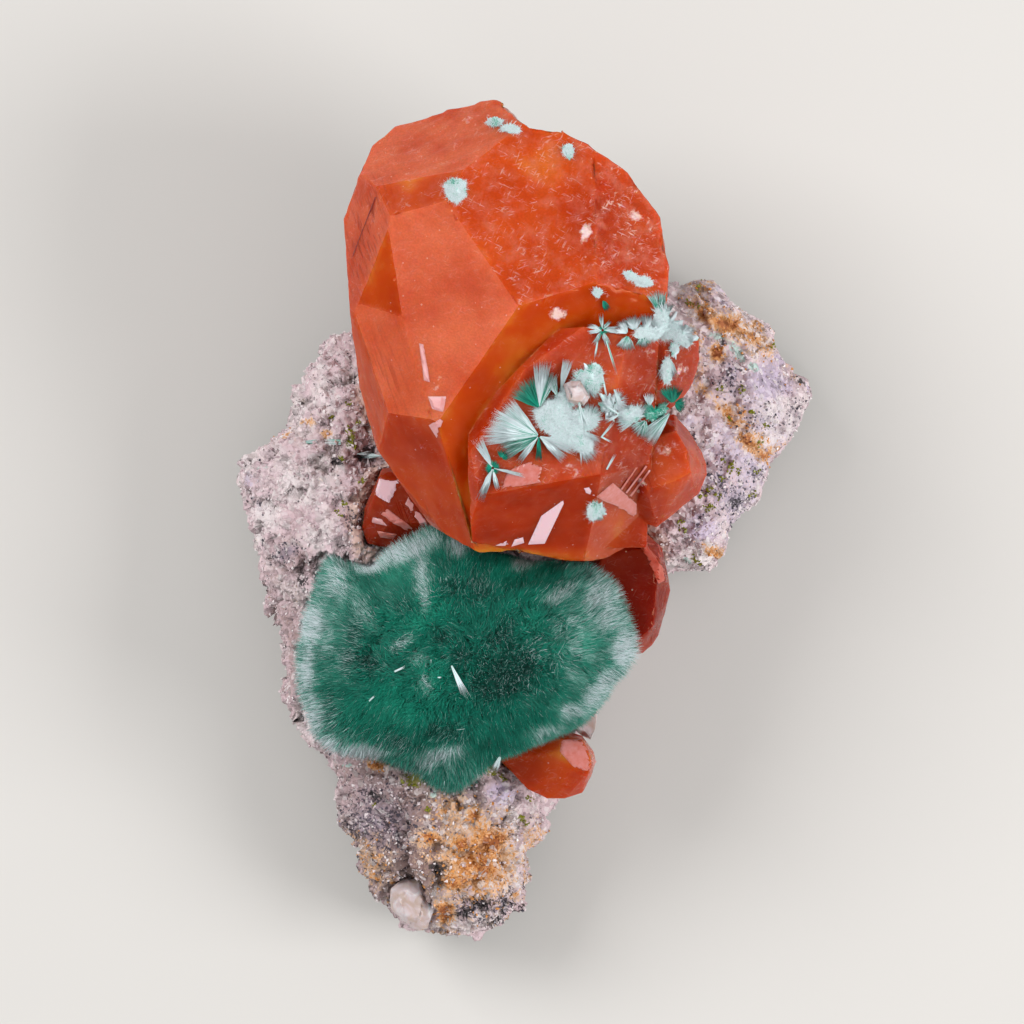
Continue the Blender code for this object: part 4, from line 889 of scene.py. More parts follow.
# Soft oval spots, seen from above: x and y of the middle, half sizes along and across
# in millimetres, turn in degrees, and strength
ROCK_SPOTS = {
    "rust": (
        (10.9, 12.8, 0.9, 0.6, -30, 0.9), (12.4, 12.1, 1.4, 0.8, -15, 1.0),
        (13.9, 11.6, 1.3, 0.7, -35, 0.8), (11.7, 10.4, 0.5, 0.6, 0, 1.3),
        (14.4, 10.8, 0.9, 0.6, -40, 0.6), (10.8, 8.1, 0.8, 0.5, -40, 0.6),
        (12.4, 6.6, 1.4, 0.5, -50, 0.8), (13.6, 5.0, 1.0, 0.6, -50, 0.9),
        (14.7, 4.1, 0.8, 0.6, -30, 0.9), (11.3, -1.5, 0.7, 0.4, -30, 0.7),
        (11.3, 14.4, 0.9, 0.6, 0, 0.6), (16.5, 9.2, 0.6, 0.25, -30, 0.6),
        (-14.6, 5.5, 0.35, 0.3, 30, 1.2), (-13.1, 6.2, 0.5, 0.3, 0, 0.6), (-12.0, 5.5, 0.4, 0.3, 0, 0.7),
        (-8.9, -14.6, 0.7, 0.35, -10, 1.0), (-5.8, -19.0, 0.9, 0.6, 0, 0.9),
        (-3.8, -19.4, 0.7, 0.6, 0, 1.1), (-1.9, -19.2, 1.1, 0.8, 20, 1.2),
        (-4.1, -21.6, 1.3, 0.7, 0, 1.0), (-2.3, -21.0, 0.9, 0.9, 0, 1.0),
        (-4.8, -23.6, 0.7, 0.9, 20, 1.2), (-3.0, -17.5, 0.6, 0.7, 40, 0.9),
        (-9.0, -21.5, 0.5, 0.5, 0, 0.8), (0.8, -18.7, 0.5, 1.0, 0, 0.6), (-4.9, -17.4, 0.9, 0.7, 0, 0.5),
        (-3.2, -20.2, 2.6, 2.2, 0, 0.7), (-2.9, -20.3, 2.6, 3.0, 0, 0.84),
        (-4.6, -17.3, 1.4, 1.2, 0, 0.55), (0.4, -19.6, 1.2, 1.8, 0, 0.5),
        (-9.5, -20.6, 1.6, 2.0, -30, 0.5), (10.7, 13.2, 1.5, 0.9, -40, 0.5),
        (13.0, 11.8, 3.4, 1.2, -28, 0.58), (13.3, 6.0, 3.0, 0.8, -48, 0.5),
        (10.2, 10.5, 0.8, 2.2, 10, 0.5),
    ),
    "speckled": (
        (-8.9, -18.1, 2.8, 2.8, 0, 0.8), (-3.2, -23.2, 1.2, 0.8, 0, 0.9),
        (-1.2, -23.2, 1.0, 0.9, 30, 1.0), (-10.4, 0.2, 0.5, 0.8, 0, 0.9), (-16.0, 1.2, 0.7, 0.6, 0, 0.6),
        (-16.0, -1.2, 0.6, 0.5, 0, 0.6), (-14.4, -1.7, 1.0, 0.6, 30, 0.9),
        (12.4, 9.0, 0.7, 1.1, -20, 0.9), (14.2, 6.3, 1.0, 0.7, 0, 0.8), (16.6, 6.7, 0.9, 1.0, 0, 0.6),
        (11.7, 2.4, 1.0, 1.2, 30, 0.9), (12.8, 1.4, 1.2, 1.0, 0, 1.1), (10.2, 5.0, 0.6, 1.0, 20, 0.7),
        (14.0, 3.2, 1.1, 0.6, -40, 0.8), (10.6, -2.8, 0.9, 0.4, 0, 0.6),
        (-9.5, -16.2, 1.0, 0.6, 20, 0.7),
    ),
    "dark": (
        (-5.1, -20.8, 0.9, 0.5, 30, 0.85), (-2.5, -23.0, 1.0, 0.7, 20, 0.8),
        (-0.7, -22.9, 0.9, 0.9, 0, 0.85), (-1.3, -24.0, 0.8, 0.4, 0, 0.85),
        (-3.6, -23.6, 0.6, 0.5, 0, 0.7), (-9.1, -16.4, 0.8, 0.4, -20, 0.7),
        (-11.3, 3.8, 0.45, 0.25, -20, 1.2), (12.0, 11.0, 0.3, 0.2, -40, 1.1),
        (16.8, 8.7, 0.35, 0.3, 0, 0.9), (12.8, 1.3, 0.5, 0.45, 0, 0.8), (-3.2, -23.4, 0.6, 0.4, 30, 0.9),
        (-1.1, -23.3, 0.6, 0.5, 40, 0.9), (-5.5, -20.6, 0.5, 0.3, 30, 0.9),
        (-7.0, -18.0, 0.18, 0.18, 0, 1.3), (-9.2, -16.3, 0.3, 0.2, -20, 1.0),
        # The long band at -8.0, -14.4 is painted shadow under the mat's overhanging lower edge
        (-13.4, -3.4, 0.5, 1.0, 0, 0.7), (-8.0, -14.4, 3.2, 0.4, -10, 0.6),
        (-10.6, 4.9, 0.3, 0.5, 0, 0.6),
    ),
    "white": (
        (-13.6, 2.2, 1.7, 1.5, 0, 0.95), (-15.6, 0.6, 1.1, 1.2, 0, 0.9), (-12.6, -0.7, 1.3, 0.9, 0, 0.6),
        (-12.0, 7.4, 1.3, 1.7, 20, 0.55), (-16.4, 2.9, 0.7, 1.0, 0, 0.5), (-12.3, 3.6, 1.0, 0.7, 0, 0.6),
        (13.5, 5.0, 3.6, 6.5, 0, 0.5), (10.3, -2.2, 1.2, 1.4, 0, 0.6), (9.8, 6.6, 0.9, 1.8, 0, 0.7),
        (16.0, 8.0, 1.0, 1.2, 0, 0.35), (-10.6, 9.6, 0.9, 1.8, 20, 0.4), (0.4, -17.2, 1.0, 1.0, 0, 0.4),
        (-3.4, -17.0, 1.2, 0.8, 0, 0.5),
    ),
    "dusky": (
        (-6.5, -19.0, 5.0, 5.0, 0, 1.3), (-14.0, -7.0, 1.6, 4.0, 0, 0.55),
        # The spot at -9.0, -15.0 is painted shadow under the mat's lower edge
        (-9.0, -15.0, 3.5, 1.4, 0, 0.7), (-14.2, -2.0, 1.4, 1.4, 0, 0.6), (-11.0, 4.6, 1.6, 1.4, 0, 0.5),
        (-3.0, -20.5, 2.8, 2.6, 0, 0.8), (-9.8, 8.0, 1.0, 2.6, 15, 0.5),
    ),
    "lilac": (
        (14.7, 8.7, 1.6, 1.3, 0, 0.9), (10.6, -0.2, 1.3, 1.0, 0, 0.8), (11.5, 4.3, 1.0, 0.8, 0, 0.6),
        (-1.4, -16.3, 1.1, 0.7, -20, 0.9), (-16.6, 2.6, 0.6, 0.6, 0, 0.6),
        (12.0, 13.6, 1.0, 0.4, 0, 0.7), (9.9, 6.3, 0.7, 0.9, 0, 0.5), (13.2, 4.6, 3.4, 6.0, 0, 0.5),
    ),
    "mint": (
        (11.6, 11.4, 0.6, 0.25, -20, 0.9), (12.9, 10.4, 0.9, 0.35, -55, 0.9),
        (13.9, 9.5, 0.35, 0.25, -30, 1.2), (9.8, -2.3, 0.2, 0.5, 10, 0.9),
        (-5.5, -16.3, 0.25, 0.25, 0, 0.9), (-10.7, -14.6, 0.25, 0.12, 0, 1.2),
        (-15.8, 3.5, 0.6, 0.4, 0, 0.4),
    ),
    "olive": (
        (-6.7, -15.4, 0.9, 0.5, -20, 0.8), (-10.5, 5.2, 0.35, 0.6, -20, 0.8),
        (-2.0, -14.9, 0.5, 0.4, 0, 0.9), (-0.1, -17.9, 0.25, 0.45, 0, 0.8),
    ),
}

# Places of the small olive crystals that sit on the rock
OLIVE_PLACES = (
    (10.9, 14.9), (10.6, 14.4), (9.9, 13.4), (10.3, 13.3), (15.0, 10.8), (11.7, 8.2), (13.2, 8.2),
    (13.7, 6.7), (14.6, 6.0), (12.4, 6.3), (14.2, 4.9), (12.0, 3.9), (12.5, 3.7), (12.4, 3.2),
    (12.9, 3.2), (14.1, 3.2), (11.9, 2.7), (11.1, 2.1), (10.7, 1.8), (11.7, 1.7), (13.9, 1.8),
    (11.3, 1.1), (11.0, 1.0), (9.4, 0.1), (9.6, -0.3), (10.3, -2.0), (10.5, -2.4), (-9.8, 2.6),
    (-11.2, 0.7), (-10.9, 1.3), (-11.1, 4.0), (-10.0, 6.1), (-11.7, 6.5), (-10.6, 7.3), (-10.6, 5.7),
    (-10.4, 5.3), (-10.5, 4.9), (-10.3, 4.6), (-2.2, -14.7), (-1.9, -15.0), (-1.4, -15.2), (-1.2, -15.4),
    (-0.2, -17.8), (0.1, -18.2), (0.3, -16.6), (-6.9, -15.5), (-6.5, -15.3), (-7.3, -15.6),
    (-9.0, -17.0), (-5.9, -17.2),
)

# Numbers that tell the kinds of loose grains apart
ORE_TONE, PALE_TONE, RUST_TONE, OLIVE_TONE = 0.1, 0.3, 0.5, 0.7

# Sizes in millimetres of the rock's blocks and grains, and of the mesh of its plain form
BLOCK_SIZE = 1.5
CRYSTAL_GRAIN_SIZE = 0.5
ROCK_FORM_SPACING = 1.3

# Olive crystals at each listed place, and how far they lie from it
OLIVE_GROUP = 7
OLIVE_SPREAD = 0.11

# Parts of the rock's surface: seen from above, turned away, and covered by other pieces
SHOWN, AWAY, COVERED = range(3)

# How far noise moves the stains on steep faces, so that they don't run down them as stripes
STAIN_REACH = 4.0


def left_share(points):
    """How far a point lies in the coarser left part of the rock, from 0 to 1."""
    return eased(points[:, 0], 9.0, 0.0)


def tilted(number, way, factors):
    """Height of tilted grains: each grain's number gives it a slope of its own."""
    lean = np.stack([np.sin(factor * number) for factor in factors], axis=1)
    return np.sum(lean * way, axis=1)


def rock_relief(points):
    """Height of the broken, grainy rock over its plain form."""
    warped = points + 0.3 * noise_ways(points, 0.8, (51, 52, 53))
    near, second, number, way = grains_at(warped, BLOCK_SIZE, 62)
    blocks = 0.42 * (number - 0.5) + 0.36 * tilted(number, way, (57.0, 91.0, 23.0))
    cracks = 1 - eased(second - near, 0.0, 0.16)
    _, _, number, way = grains_at(warped, CRYSTAL_GRAIN_SIZE, 63)
    grains = 0.2 * (number - 0.5) + 0.45 * tilted(number, way, (77.0, 31.0, 59.0))
    rough = 0.45 + 0.55 * eased(noise_at(points, 3.0, 55), -0.3, 0.3)
    coarse = 0.4 + 0.6 * left_share(points)
    return (0.3 * layered_noise(points, 2.6, 61, 2) + coarse * blocks - 0.1 * cracks
            + coarse * rough * grains + 0.05 * noise_at(points, 0.22, 64))


def faceted_grains(places, normals, sizes, seed):
    """Small eight-sided crystals of uneven form, half sunk at their places."""
    rng = np.random.default_rng(seed)
    count = len(places)
    ends = np.array([[1, 0, 0], [-1, 0, 0], [0, 1, 0], [0, -1, 0], [0, 0, 1], [0, 0, -1]], dtype=float)
    faces = np.array([[0, 2, 4], [2, 1, 4], [1, 3, 4], [3, 0, 4],
                      [2, 0, 5], [1, 2, 5], [3, 1, 5], [0, 3, 5]])
    shape = ends[None] * rng.uniform(0.55, 1.15, (count, 6, 1)) + rng.uniform(-0.3, 0.3, (count, 6, 3))
    spin = np.linalg.qr(rng.normal(size=(count, 3, 3)))[0]
    spin *= np.sign(np.linalg.det(spin))[:, None, None]
    corners = np.einsum("nij,nkj->nki", spin, shape) * sizes[:, None, None] / 2
    corners += (places + 0.1 * sizes[:, None] * normals)[:, None]
    return corners.reshape(-1, 3), (faces[None] + 6 * np.arange(count)[:, None, None]).reshape(-1, 3)


def scattered(points, triangles, count, seed):
    """Random places spread evenly over triangles, with the direction each looks in."""
    rng = np.random.default_rng(seed)
    a, b, c = (points[triangles[:, corner]] for corner in range(3))
    facing = facings_of(points, triangles)
    size = np.linalg.norm(facing, axis=1)
    chosen = rng.choice(len(triangles), count, p=size / size.sum())
    share = rng.random((count, 2))
    share = np.where(share.sum(axis=1, keepdims=True) > 1, 1 - share, share)
    places = a[chosen] + share[:, :1] * (b - a)[chosen] + share[:, 1:] * (c - a)[chosen]
    return places, facing[chosen] / size[chosen][:, None]


def weathered_rock(name, settings):
    """Weathered vein rock of quartz, feldspar and clay, broken by hand.

    A matt, sugary mass of pinkish grains, with glints on the fresh grains, rust where
    iron has stained it and dark grains of ore.
    """
    made, tree = new_material(name)
    place = add_node(tree, "TexCoord").outputs["Object"]
    fine = add_node(tree, "TexVoronoi", {"Vector": place, "Scale": per_metre(0.12)})
    fine_parts = add_node(tree, "SeparateColor", {"Color": fine.outputs["Color"]})
    single = add_node(tree, "Math", {0: fine_parts.outputs["Green"], 1: 0.4, 2: -0.2},
                      operation="MULTIPLY_ADD")
    masks = {}
    for key, grain, reach in (("rust", 0.7, 0.75), ("speckled", 0.5, 0.6), ("dark", 0.35, 0.7),
                              ("lilac", 1.2, 0.5), ("mint", 0.35, 0.6), ("olive", 0.4, 0.7),
                              ("dusky", 1.6, 0.5), ("white", 1.0, 0.5), ("rim", 1.0, 0.3),
                              ("hollow_shade", 0.8, 0.2)):
        ragged = add_node(tree, "TexNoise", {"Vector": place, "Scale": per_metre(grain), "Detail": 3.0})
        shifted = add_node(tree, "Math", {0: ragged, 1: reach, 2: -0.5 * reach}, operation="MULTIPLY_ADD")
        spot = add_node(tree, "Attribute", attribute_name=key)
        uneven = add_node(tree, "Math", {0: single, 1: shifted}, operation="ADD")
        masks[key] = add_node(tree, "Math", {0: spot.outputs["Fac"], 1: uneven},
                              operation="ADD", use_clamp=True)

    clouds = add_node(tree, "TexNoise", {"Vector": place, "Scale": per_metre(2.8), "Detail": 4.0})
    ground = add_node(tree, "ValToRGB", {"Fac": clouds}, stops=[
        (0.32, settings.shade), (0.5, settings.pink), (0.66, settings.pale)])
    grain = add_node(tree, "TexVoronoi", {"Vector": place, "Scale": per_metre(0.32)})
    parts = add_node(tree, "SeparateColor", {"Color": grain.outputs["Color"]})

    rust = add_node(tree, "ValToRGB", {"Fac": masks["rust"]}, stops=[
        (0.35, settings.peach), (0.75, settings.limonite), (1.0, settings.rust)])
    ore_share = add_node(tree, "Math", {0: masks["speckled"], 1: 0.42, 2: -0.05}, operation="MULTIPLY_ADD")
    ore = add_node(tree, "Math", {0: fine_parts.outputs["Red"], 1: ore_share},
                   operation="LESS_THAN")
    colour = ground
    for share, low, high, over, most in (
            (parts.outputs["Red"], 0.3, 0.9, settings.grain, 0.3),
            (masks["dusky"], 0.1, 0.9, settings.dusk, 0.75),
            (masks["white"], 0.25, 0.7, settings.fresh, 0.8),
            (masks["lilac"], 0.25, 0.6, settings.lilac, 0.75),
            (masks["speckled"], 0.35, 0.9, settings.grey, 0.7),
            # Painted glow: the rock is lighter and warmer close to the crystals, as if lit through them
            (masks["rim"], 0.1, 0.7, settings.near, 0.85),
            (masks["rust"], 0.25, 0.5, rust, 0.95),
            (parts.outputs["Green"], 0.8, 0.95, settings.fresh, 0.6),
            # Painted shade in the hollows of the relief
            (masks["hollow_shade"], 0.35, 1.0, settings.hollow_shade, 0.65),
            (ore, 0.4, 0.6, settings.ore, 0.85),
            (masks["olive"], 0.45, 0.6, settings.olive, 0.8),
            (masks["mint"], 0.35, 0.6, settings.mint, 0.9),
            (masks["dark"], 0.45, 0.7, settings.dark, 0.92)):
        mask = add_node(tree, "MapRange", {
            "Value": share, "From Min": low, "From Max": high, "To Max": most})
        colour = add_node(tree, "MixRGB", {
            "Fac": mask, "Color1": colour, "Color2": over})

    rough = add_node(tree, "MapRange", {
        "Value": parts.outputs["Blue"], "From Min": 0.78, "From Max": 0.9, "To Min": 0.75, "To Max": 0.22})
    grit = add_node(tree, "TexNoise", {"Vector": place, "Scale": per_metre(0.14), "Detail": 2.0})
    away = add_node(tree, "VectorMath", {0: place, 1: grain.outputs["Position"]}, operation="SUBTRACT")
    lean = add_node(tree, "VectorMath", {0: grain.outputs["Color"], 1: (0.5, 0.5, 0.5)},
                    operation="SUBTRACT")
    slope = add_node(tree, "VectorMath", {0: away, 1: lean},
                     operation="DOT_PRODUCT")
    gritty = add_node(tree, "Math", {0: grit, 1: 0.04 * MM}, operation="MULTIPLY")
    height = add_node(tree, "Math", {0: slope.outputs["Value"], 1: 1.5, 2: gritty},
                      operation="MULTIPLY_ADD")
    bump = add_node(tree, "Bump", {"Height": height, "Strength": 0.9, "Distance": 1.0})
    shader = add_node(tree, "BsdfPrincipled", {
        "Base Color": colour, "Roughness": rough, "Normal": bump})
    add_node(tree, "OutputMaterial", {"Surface": shader})
    return made


class RockSettings(bpy.types.PropertyGroup):
    """Sizes and colours of the rock."""
    spacing: size_setting("Mesh spacing", "Longest mesh edge where the rock shows", 0.2)
    grain_count: IntProperty(name="Grains", description="Small crystals on the rock", default=7000, min=0)
    grain_size: size_setting("Grain size", "Size of the small crystals on the rock", 0.2)
    pink: colour_setting("Rock colour", "Pinkish white of the rock", "#EDD2D8")
    pale: colour_setting("Pale colour", "White of the palest rock", "#F6E8E8")
    shade: colour_setting("Dusky colour", "Greyish pink of the duller rock", "#D6BABE")
    # Dark brownish grey of the duller rock, and painted shadow under the mat's lower edge
    dusk: colour_setting("Dusk colour", "Dirty brownish grey parts", "#75523F")
    grain: colour_setting("Grain colour", "Single grains of greyer tone", "#BFA4AC")
    fresh: colour_setting("Fresh grain colour", "Single grains of clear quartz", "#FCF2F2")
    lilac: colour_setting("Lilac colour", "Lilac parts", "#D4C4E0")
    grey: colour_setting("Grey colour", "Ground between the dark grains", "#A89CB0")
    near: colour_setting("Glow colour", "Rock close to the crystals, lit through them", "#EFCBBB")
    peach: colour_setting("Peach colour", "Weak iron stain", "#F3CFAE")
    limonite: colour_setting("Limonite colour", "Iron stain", "#DE9650")
    rust: colour_setting("Rust colour", "Strong iron stain", "#AC5C1C")
    # Painted shade for the hollows of the relief
    hollow_shade: colour_setting("Hollow colour", "Dirt in the hollows", "#64504C")
    ore: colour_setting("Ore colour", "Dark grains", "#4B4552")
    olive: colour_setting("Olive colour", "Olive green crusts and grains", "#85851C")
    mint: colour_setting("Mint colour", "Pale green copper stain", "#C8E2DA")
    # Black ore, with painted shade in the cavities and painted shadow under the mat's lower edge
    dark: colour_setting("Dark colour", "Cavities and black ore", "#201D22")


class SPECIMEN_OT_rock(bpy.types.Operator):
    """Build the rock that the crystals sit in, with the small grains on it"""
    bl_idname = "specimen.rock"
    bl_label = "Rock"

    def execute(self, context):
        settings = context.scene.specimen_rock
        material = weathered_rock("weathered_vein_rock", settings)
        over = tree_of("crystal_cluster", "malachite_mat", "lower_small_crystal")
        crystals = tree_of("crystal_cluster", "left_small_crystal")
        points, triangles = fine_mesh("matrix", ROCK_FORM_SPACING, 2)
        facing = facings_of(points, triangles)[:, 2]
        covered = np.array([over.ray_cast(Vector(middle), -DOWN)[0] is not None
                            for middle in points[triangles].mean(axis=1)])
        group = np.where(covered, COVERED, np.where(facing > 0, SHOWN, AWAY))
        spacing = settings.spacing / MM * np.array([1.0, 2.0, 4.0])
        points, triangles, group = refined(points, triangles, group, spacing)
        relief = rock_relief(points)
        normals = normals_of(points, triangles)
        near = np.array([crystals.find_nearest(Vector(point))[3] for point in points])
        points = points + normals * (relief * (0.35 + 0.65 * eased(near, 0.1, 1.2)) - 0.05)[:, None]
        points[:, 2] = np.maximum(points[:, 2], 0.0)
        steep = 1 - eased(normals[:, 2], 0.1, 0.6)
        stained = points + STAIN_REACH * steep[:, None] * noise_ways(points, 1.6, (101, 102, 103))
        values = {key: spots_at(stained, spots) for key, spots in ROCK_SPOTS.items()}
        # Painted glow near the crystals, fading out within 1.5 mm
        values["rim"] = 1 - eased(near, 0.2, 1.5)
        # Painted shade: darker where the relief sinks into hollows, most in the coarser left part
        values["hollow_shade"] = eased(-relief, 0.12, 0.5) * (0.35 + 0.65 * left_share(points))
        new_object("rock", points, triangles, material, ("matrix",), values)

        shown = triangles[group == SHOWN]
        places, ways = scattered(points, shown, settings.grain_count, 71)
        olive, olive_ways = self.olive_grains(points, shown)
        rng = np.random.default_rng(72)
        sizes = settings.grain_size / MM * rng.uniform(0.45, 1.3, len(places)) ** 1.5
        olive_sizes = 1.1 * settings.grain_size / MM * rng.uniform(0.6, 1.3, len(olive))
        corners, faces = faceted_grains(np.vstack([places, olive]), np.vstack([ways, olive_ways]),
                                        np.concatenate([sizes, olive_sizes]), 73)
        dark = spots_at(places, ROCK_SPOTS["speckled"]) * 0.4 + 0.01
        rusty = spots_at(places, ROCK_SPOTS["rust"])
        pick = rng.random(len(places))
        tone = np.where(pick < dark, ORE_TONE,
                        np.where(rng.random(len(places)) < rusty, RUST_TONE, PALE_TONE))
        tone = np.concatenate([tone, np.full(len(olive), OLIVE_TONE)])
        bright = rng.random(len(tone))
        new_object("rock_grains", corners, faces, self.grain_material(settings), (),
                   {"tone": np.repeat(tone, 6), "bright": np.repeat(bright, 6)}, smooth=False)
        return {"FINISHED"}

    def olive_grains(self, points, triangles):
        """Places of the olive crystals: a few close together at each listed place."""
        rng = np.random.default_rng(74)
        tree = surface_tree(points, triangles)
        places, ways = [], []
        for x, y in OLIVE_PLACES:
            for east, north in rng.normal(0.0, OLIVE_SPREAD, (OLIVE_GROUP, 2)):
                hit, way, _ = seen_from_above(tree, x + east, y + north)
                if hit is not None:
                    places.append(hit)
                    ways.append(way)
        return np.array(places), np.array(ways)

    def grain_material(self, settings):
        """Small grains of quartz, ore, rust and green arsenate, each of one colour with a glint.

        Grown or broken faces, so they are smoother than the rock below them.
        """
        made, tree = new_material("rock_grain_crystals")
        tone = add_node(tree, "Attribute", attribute_name="tone").outputs["Fac"]
        bright = add_node(tree, "Attribute", attribute_name="bright").outputs["Fac"]
        pale = add_node(tree, "MixRGB", {
            "Fac": bright, "Color1": settings.grain,
            "Color2": settings.fresh})
        colour = add_node(tree, "ValToRGB", {"Fac": tone}, stops=[
            (0.0, settings.ore), (0.2, settings.pink),
            (0.4, settings.limonite), (0.6, settings.olive)])
        colour.color_ramp.interpolation = "CONSTANT"
        is_pale = add_node(tree, "Math", {0: tone, 1: PALE_TONE, 2: 0.05}, operation="COMPARE")
        body = add_node(tree, "MixRGB", {
            "Fac": is_pale, "Color1": colour, "Color2": pale})
        rough = add_node(tree, "MapRange", {"Value": bright, "To Min": 0.6, "To Max": 0.18})
        shader = add_node(tree, "BsdfPrincipled", {
            "Base Color": body, "Roughness": rough})
        add_node(tree, "OutputMaterial", {"Surface": shader})
        return made


# Malachite

# Soft oval spots on the mat, as for the rock
MAT_SPOTS = {
    "speckled": (
        (-10.4, -6.5, 0.6, 1.0, 0, 0.9), (-9.4, -8.3, 0.8, 0.6, 0, 1.2), (-10.7, -8.0, 0.7, 0.8, 0, 1.0),
        (-4.5, -3.5, 1.1, 0.9, 0, 0.8), (-7.5, -4.8, 0.8, 0.6, 0, 0.5), (-4.9, -6.7, 0.6, 0.5, 0, 1.1),
        (-3.9, -8.0, 0.9, 0.9, 0, 0.9), (-2.7, -3.5, 1.1, 0.9, 0, 0.8), (-1.5, -6.7, 1.4, 0.6, 50, 0.9),
        (-0.9, -9.0, 2.1, 1.5, 20, 1.1), (0.2, -8.6, 1.0, 1.2, 0, 1.1), (-2.4, -9.7, 1.3, 1.0, 0, 0.9),
        (-5.0, -12.6, 1.3, 0.6, 0, 0.8), (-11.8, -11.4, 0.4, 1.3, 10, 0.7),
        (-7.4, -13.2, 1.4, 0.4, -15, 0.8),
    ),
    "pale": (
        (-6.3, -2.8, 0.6, 1.5, 0, 0.75), (-6.1, -4.4, 0.35, 0.9, 0, 0.85),
        (-6.3, -8.1, 0.8, 0.6, 0, 0.6), (-6.0, -9.6, 0.5, 0.8, 15, 0.55),
        (-7.4, -7.1, 1.0, 0.4, 25, 0.6), (-9.9, -4.9, 0.8, 1.7, 30, 0.5),
        (-11.2, -3.5, 0.7, 1.2, 0, 0.75), (-12.8, -6.2, 0.5, 1.3, -10, 1.3),
        (-13.1, -8.6, 0.35, 1.6, 0, 1.1), (-12.6, -11.4, 0.3, 1.4, 15, 0.9),
        (-7.3, -1.6, 2.3, 0.6, 20, 1.0), (-4.0, -1.2, 0.8, 0.6, 0, 0.8), (-9.2, -2.5, 0.9, 0.3, 10, 1.2),
        (2.2, -4.1, 1.3, 0.6, 20, 0.8), (4.5, -4.3, 1.3, 1.1, 0, 0.75), (3.1, -5.7, 1.5, 1.0, 0, 0.5),
        (6.0, -7.5, 0.6, 1.1, 0, 1.4), (5.0, -5.7, 0.9, 1.0, 0, 0.8), (4.6, -9.9, 0.6, 1.8, -38, 0.9),
        (3.1, -9.0, 0.9, 0.7, 0, 0.5), (3.0, -11.3, 1.0, 0.6, 20, 0.8), (0.0, -2.3, 0.7, 0.4, 0, 0.8),
        (3.4, -6.4, 2.8, 3.6, -15, 0.45), (-11.8, -6.5, 1.4, 3.0, 0, 0.4),
        (-4.9, -13.9, 1.5, 0.5, 10, 0.8), (-9.8, -13.6, 1.3, 0.3, -5, 1.1),
        (-11.6, -13.1, 0.7, 0.3, -30, 1.0), (1.2, -12.6, 1.2, 0.5, 20, 0.6),
    ),
    "bright": (
        (-5.3, -4.8, 1.2, 1.5, 0, 1.0), (-5.6, -9.2, 1.0, 1.3, 0, 1.0), (-8.3, -11.4, 2.6, 1.4, 0, 1.0),
        (-1.3, -2.8, 0.9, 0.6, 0, 0.9), (2.0, -7.2, 0.9, 0.7, 0, 0.8), (0.5, -5.7, 0.9, 0.8, 0, 0.8),
        (3.8, -6.8, 0.6, 1.3, 0, 0.8), (-8.0, -2.9, 1.0, 0.5, 0, 0.8), (-6.6, -6.0, 1.4, 1.0, 0, 0.7),
    ),
}

# The mat's middle, half sizes, mesh spacing and width of a tuft
MAT_MIDDLE = (-3.6, -7.6)
MAT_HALF_SIZE = (10.0, 7.0)
MAT_SPACING = 0.5
TUFT_SIZE = 1.5

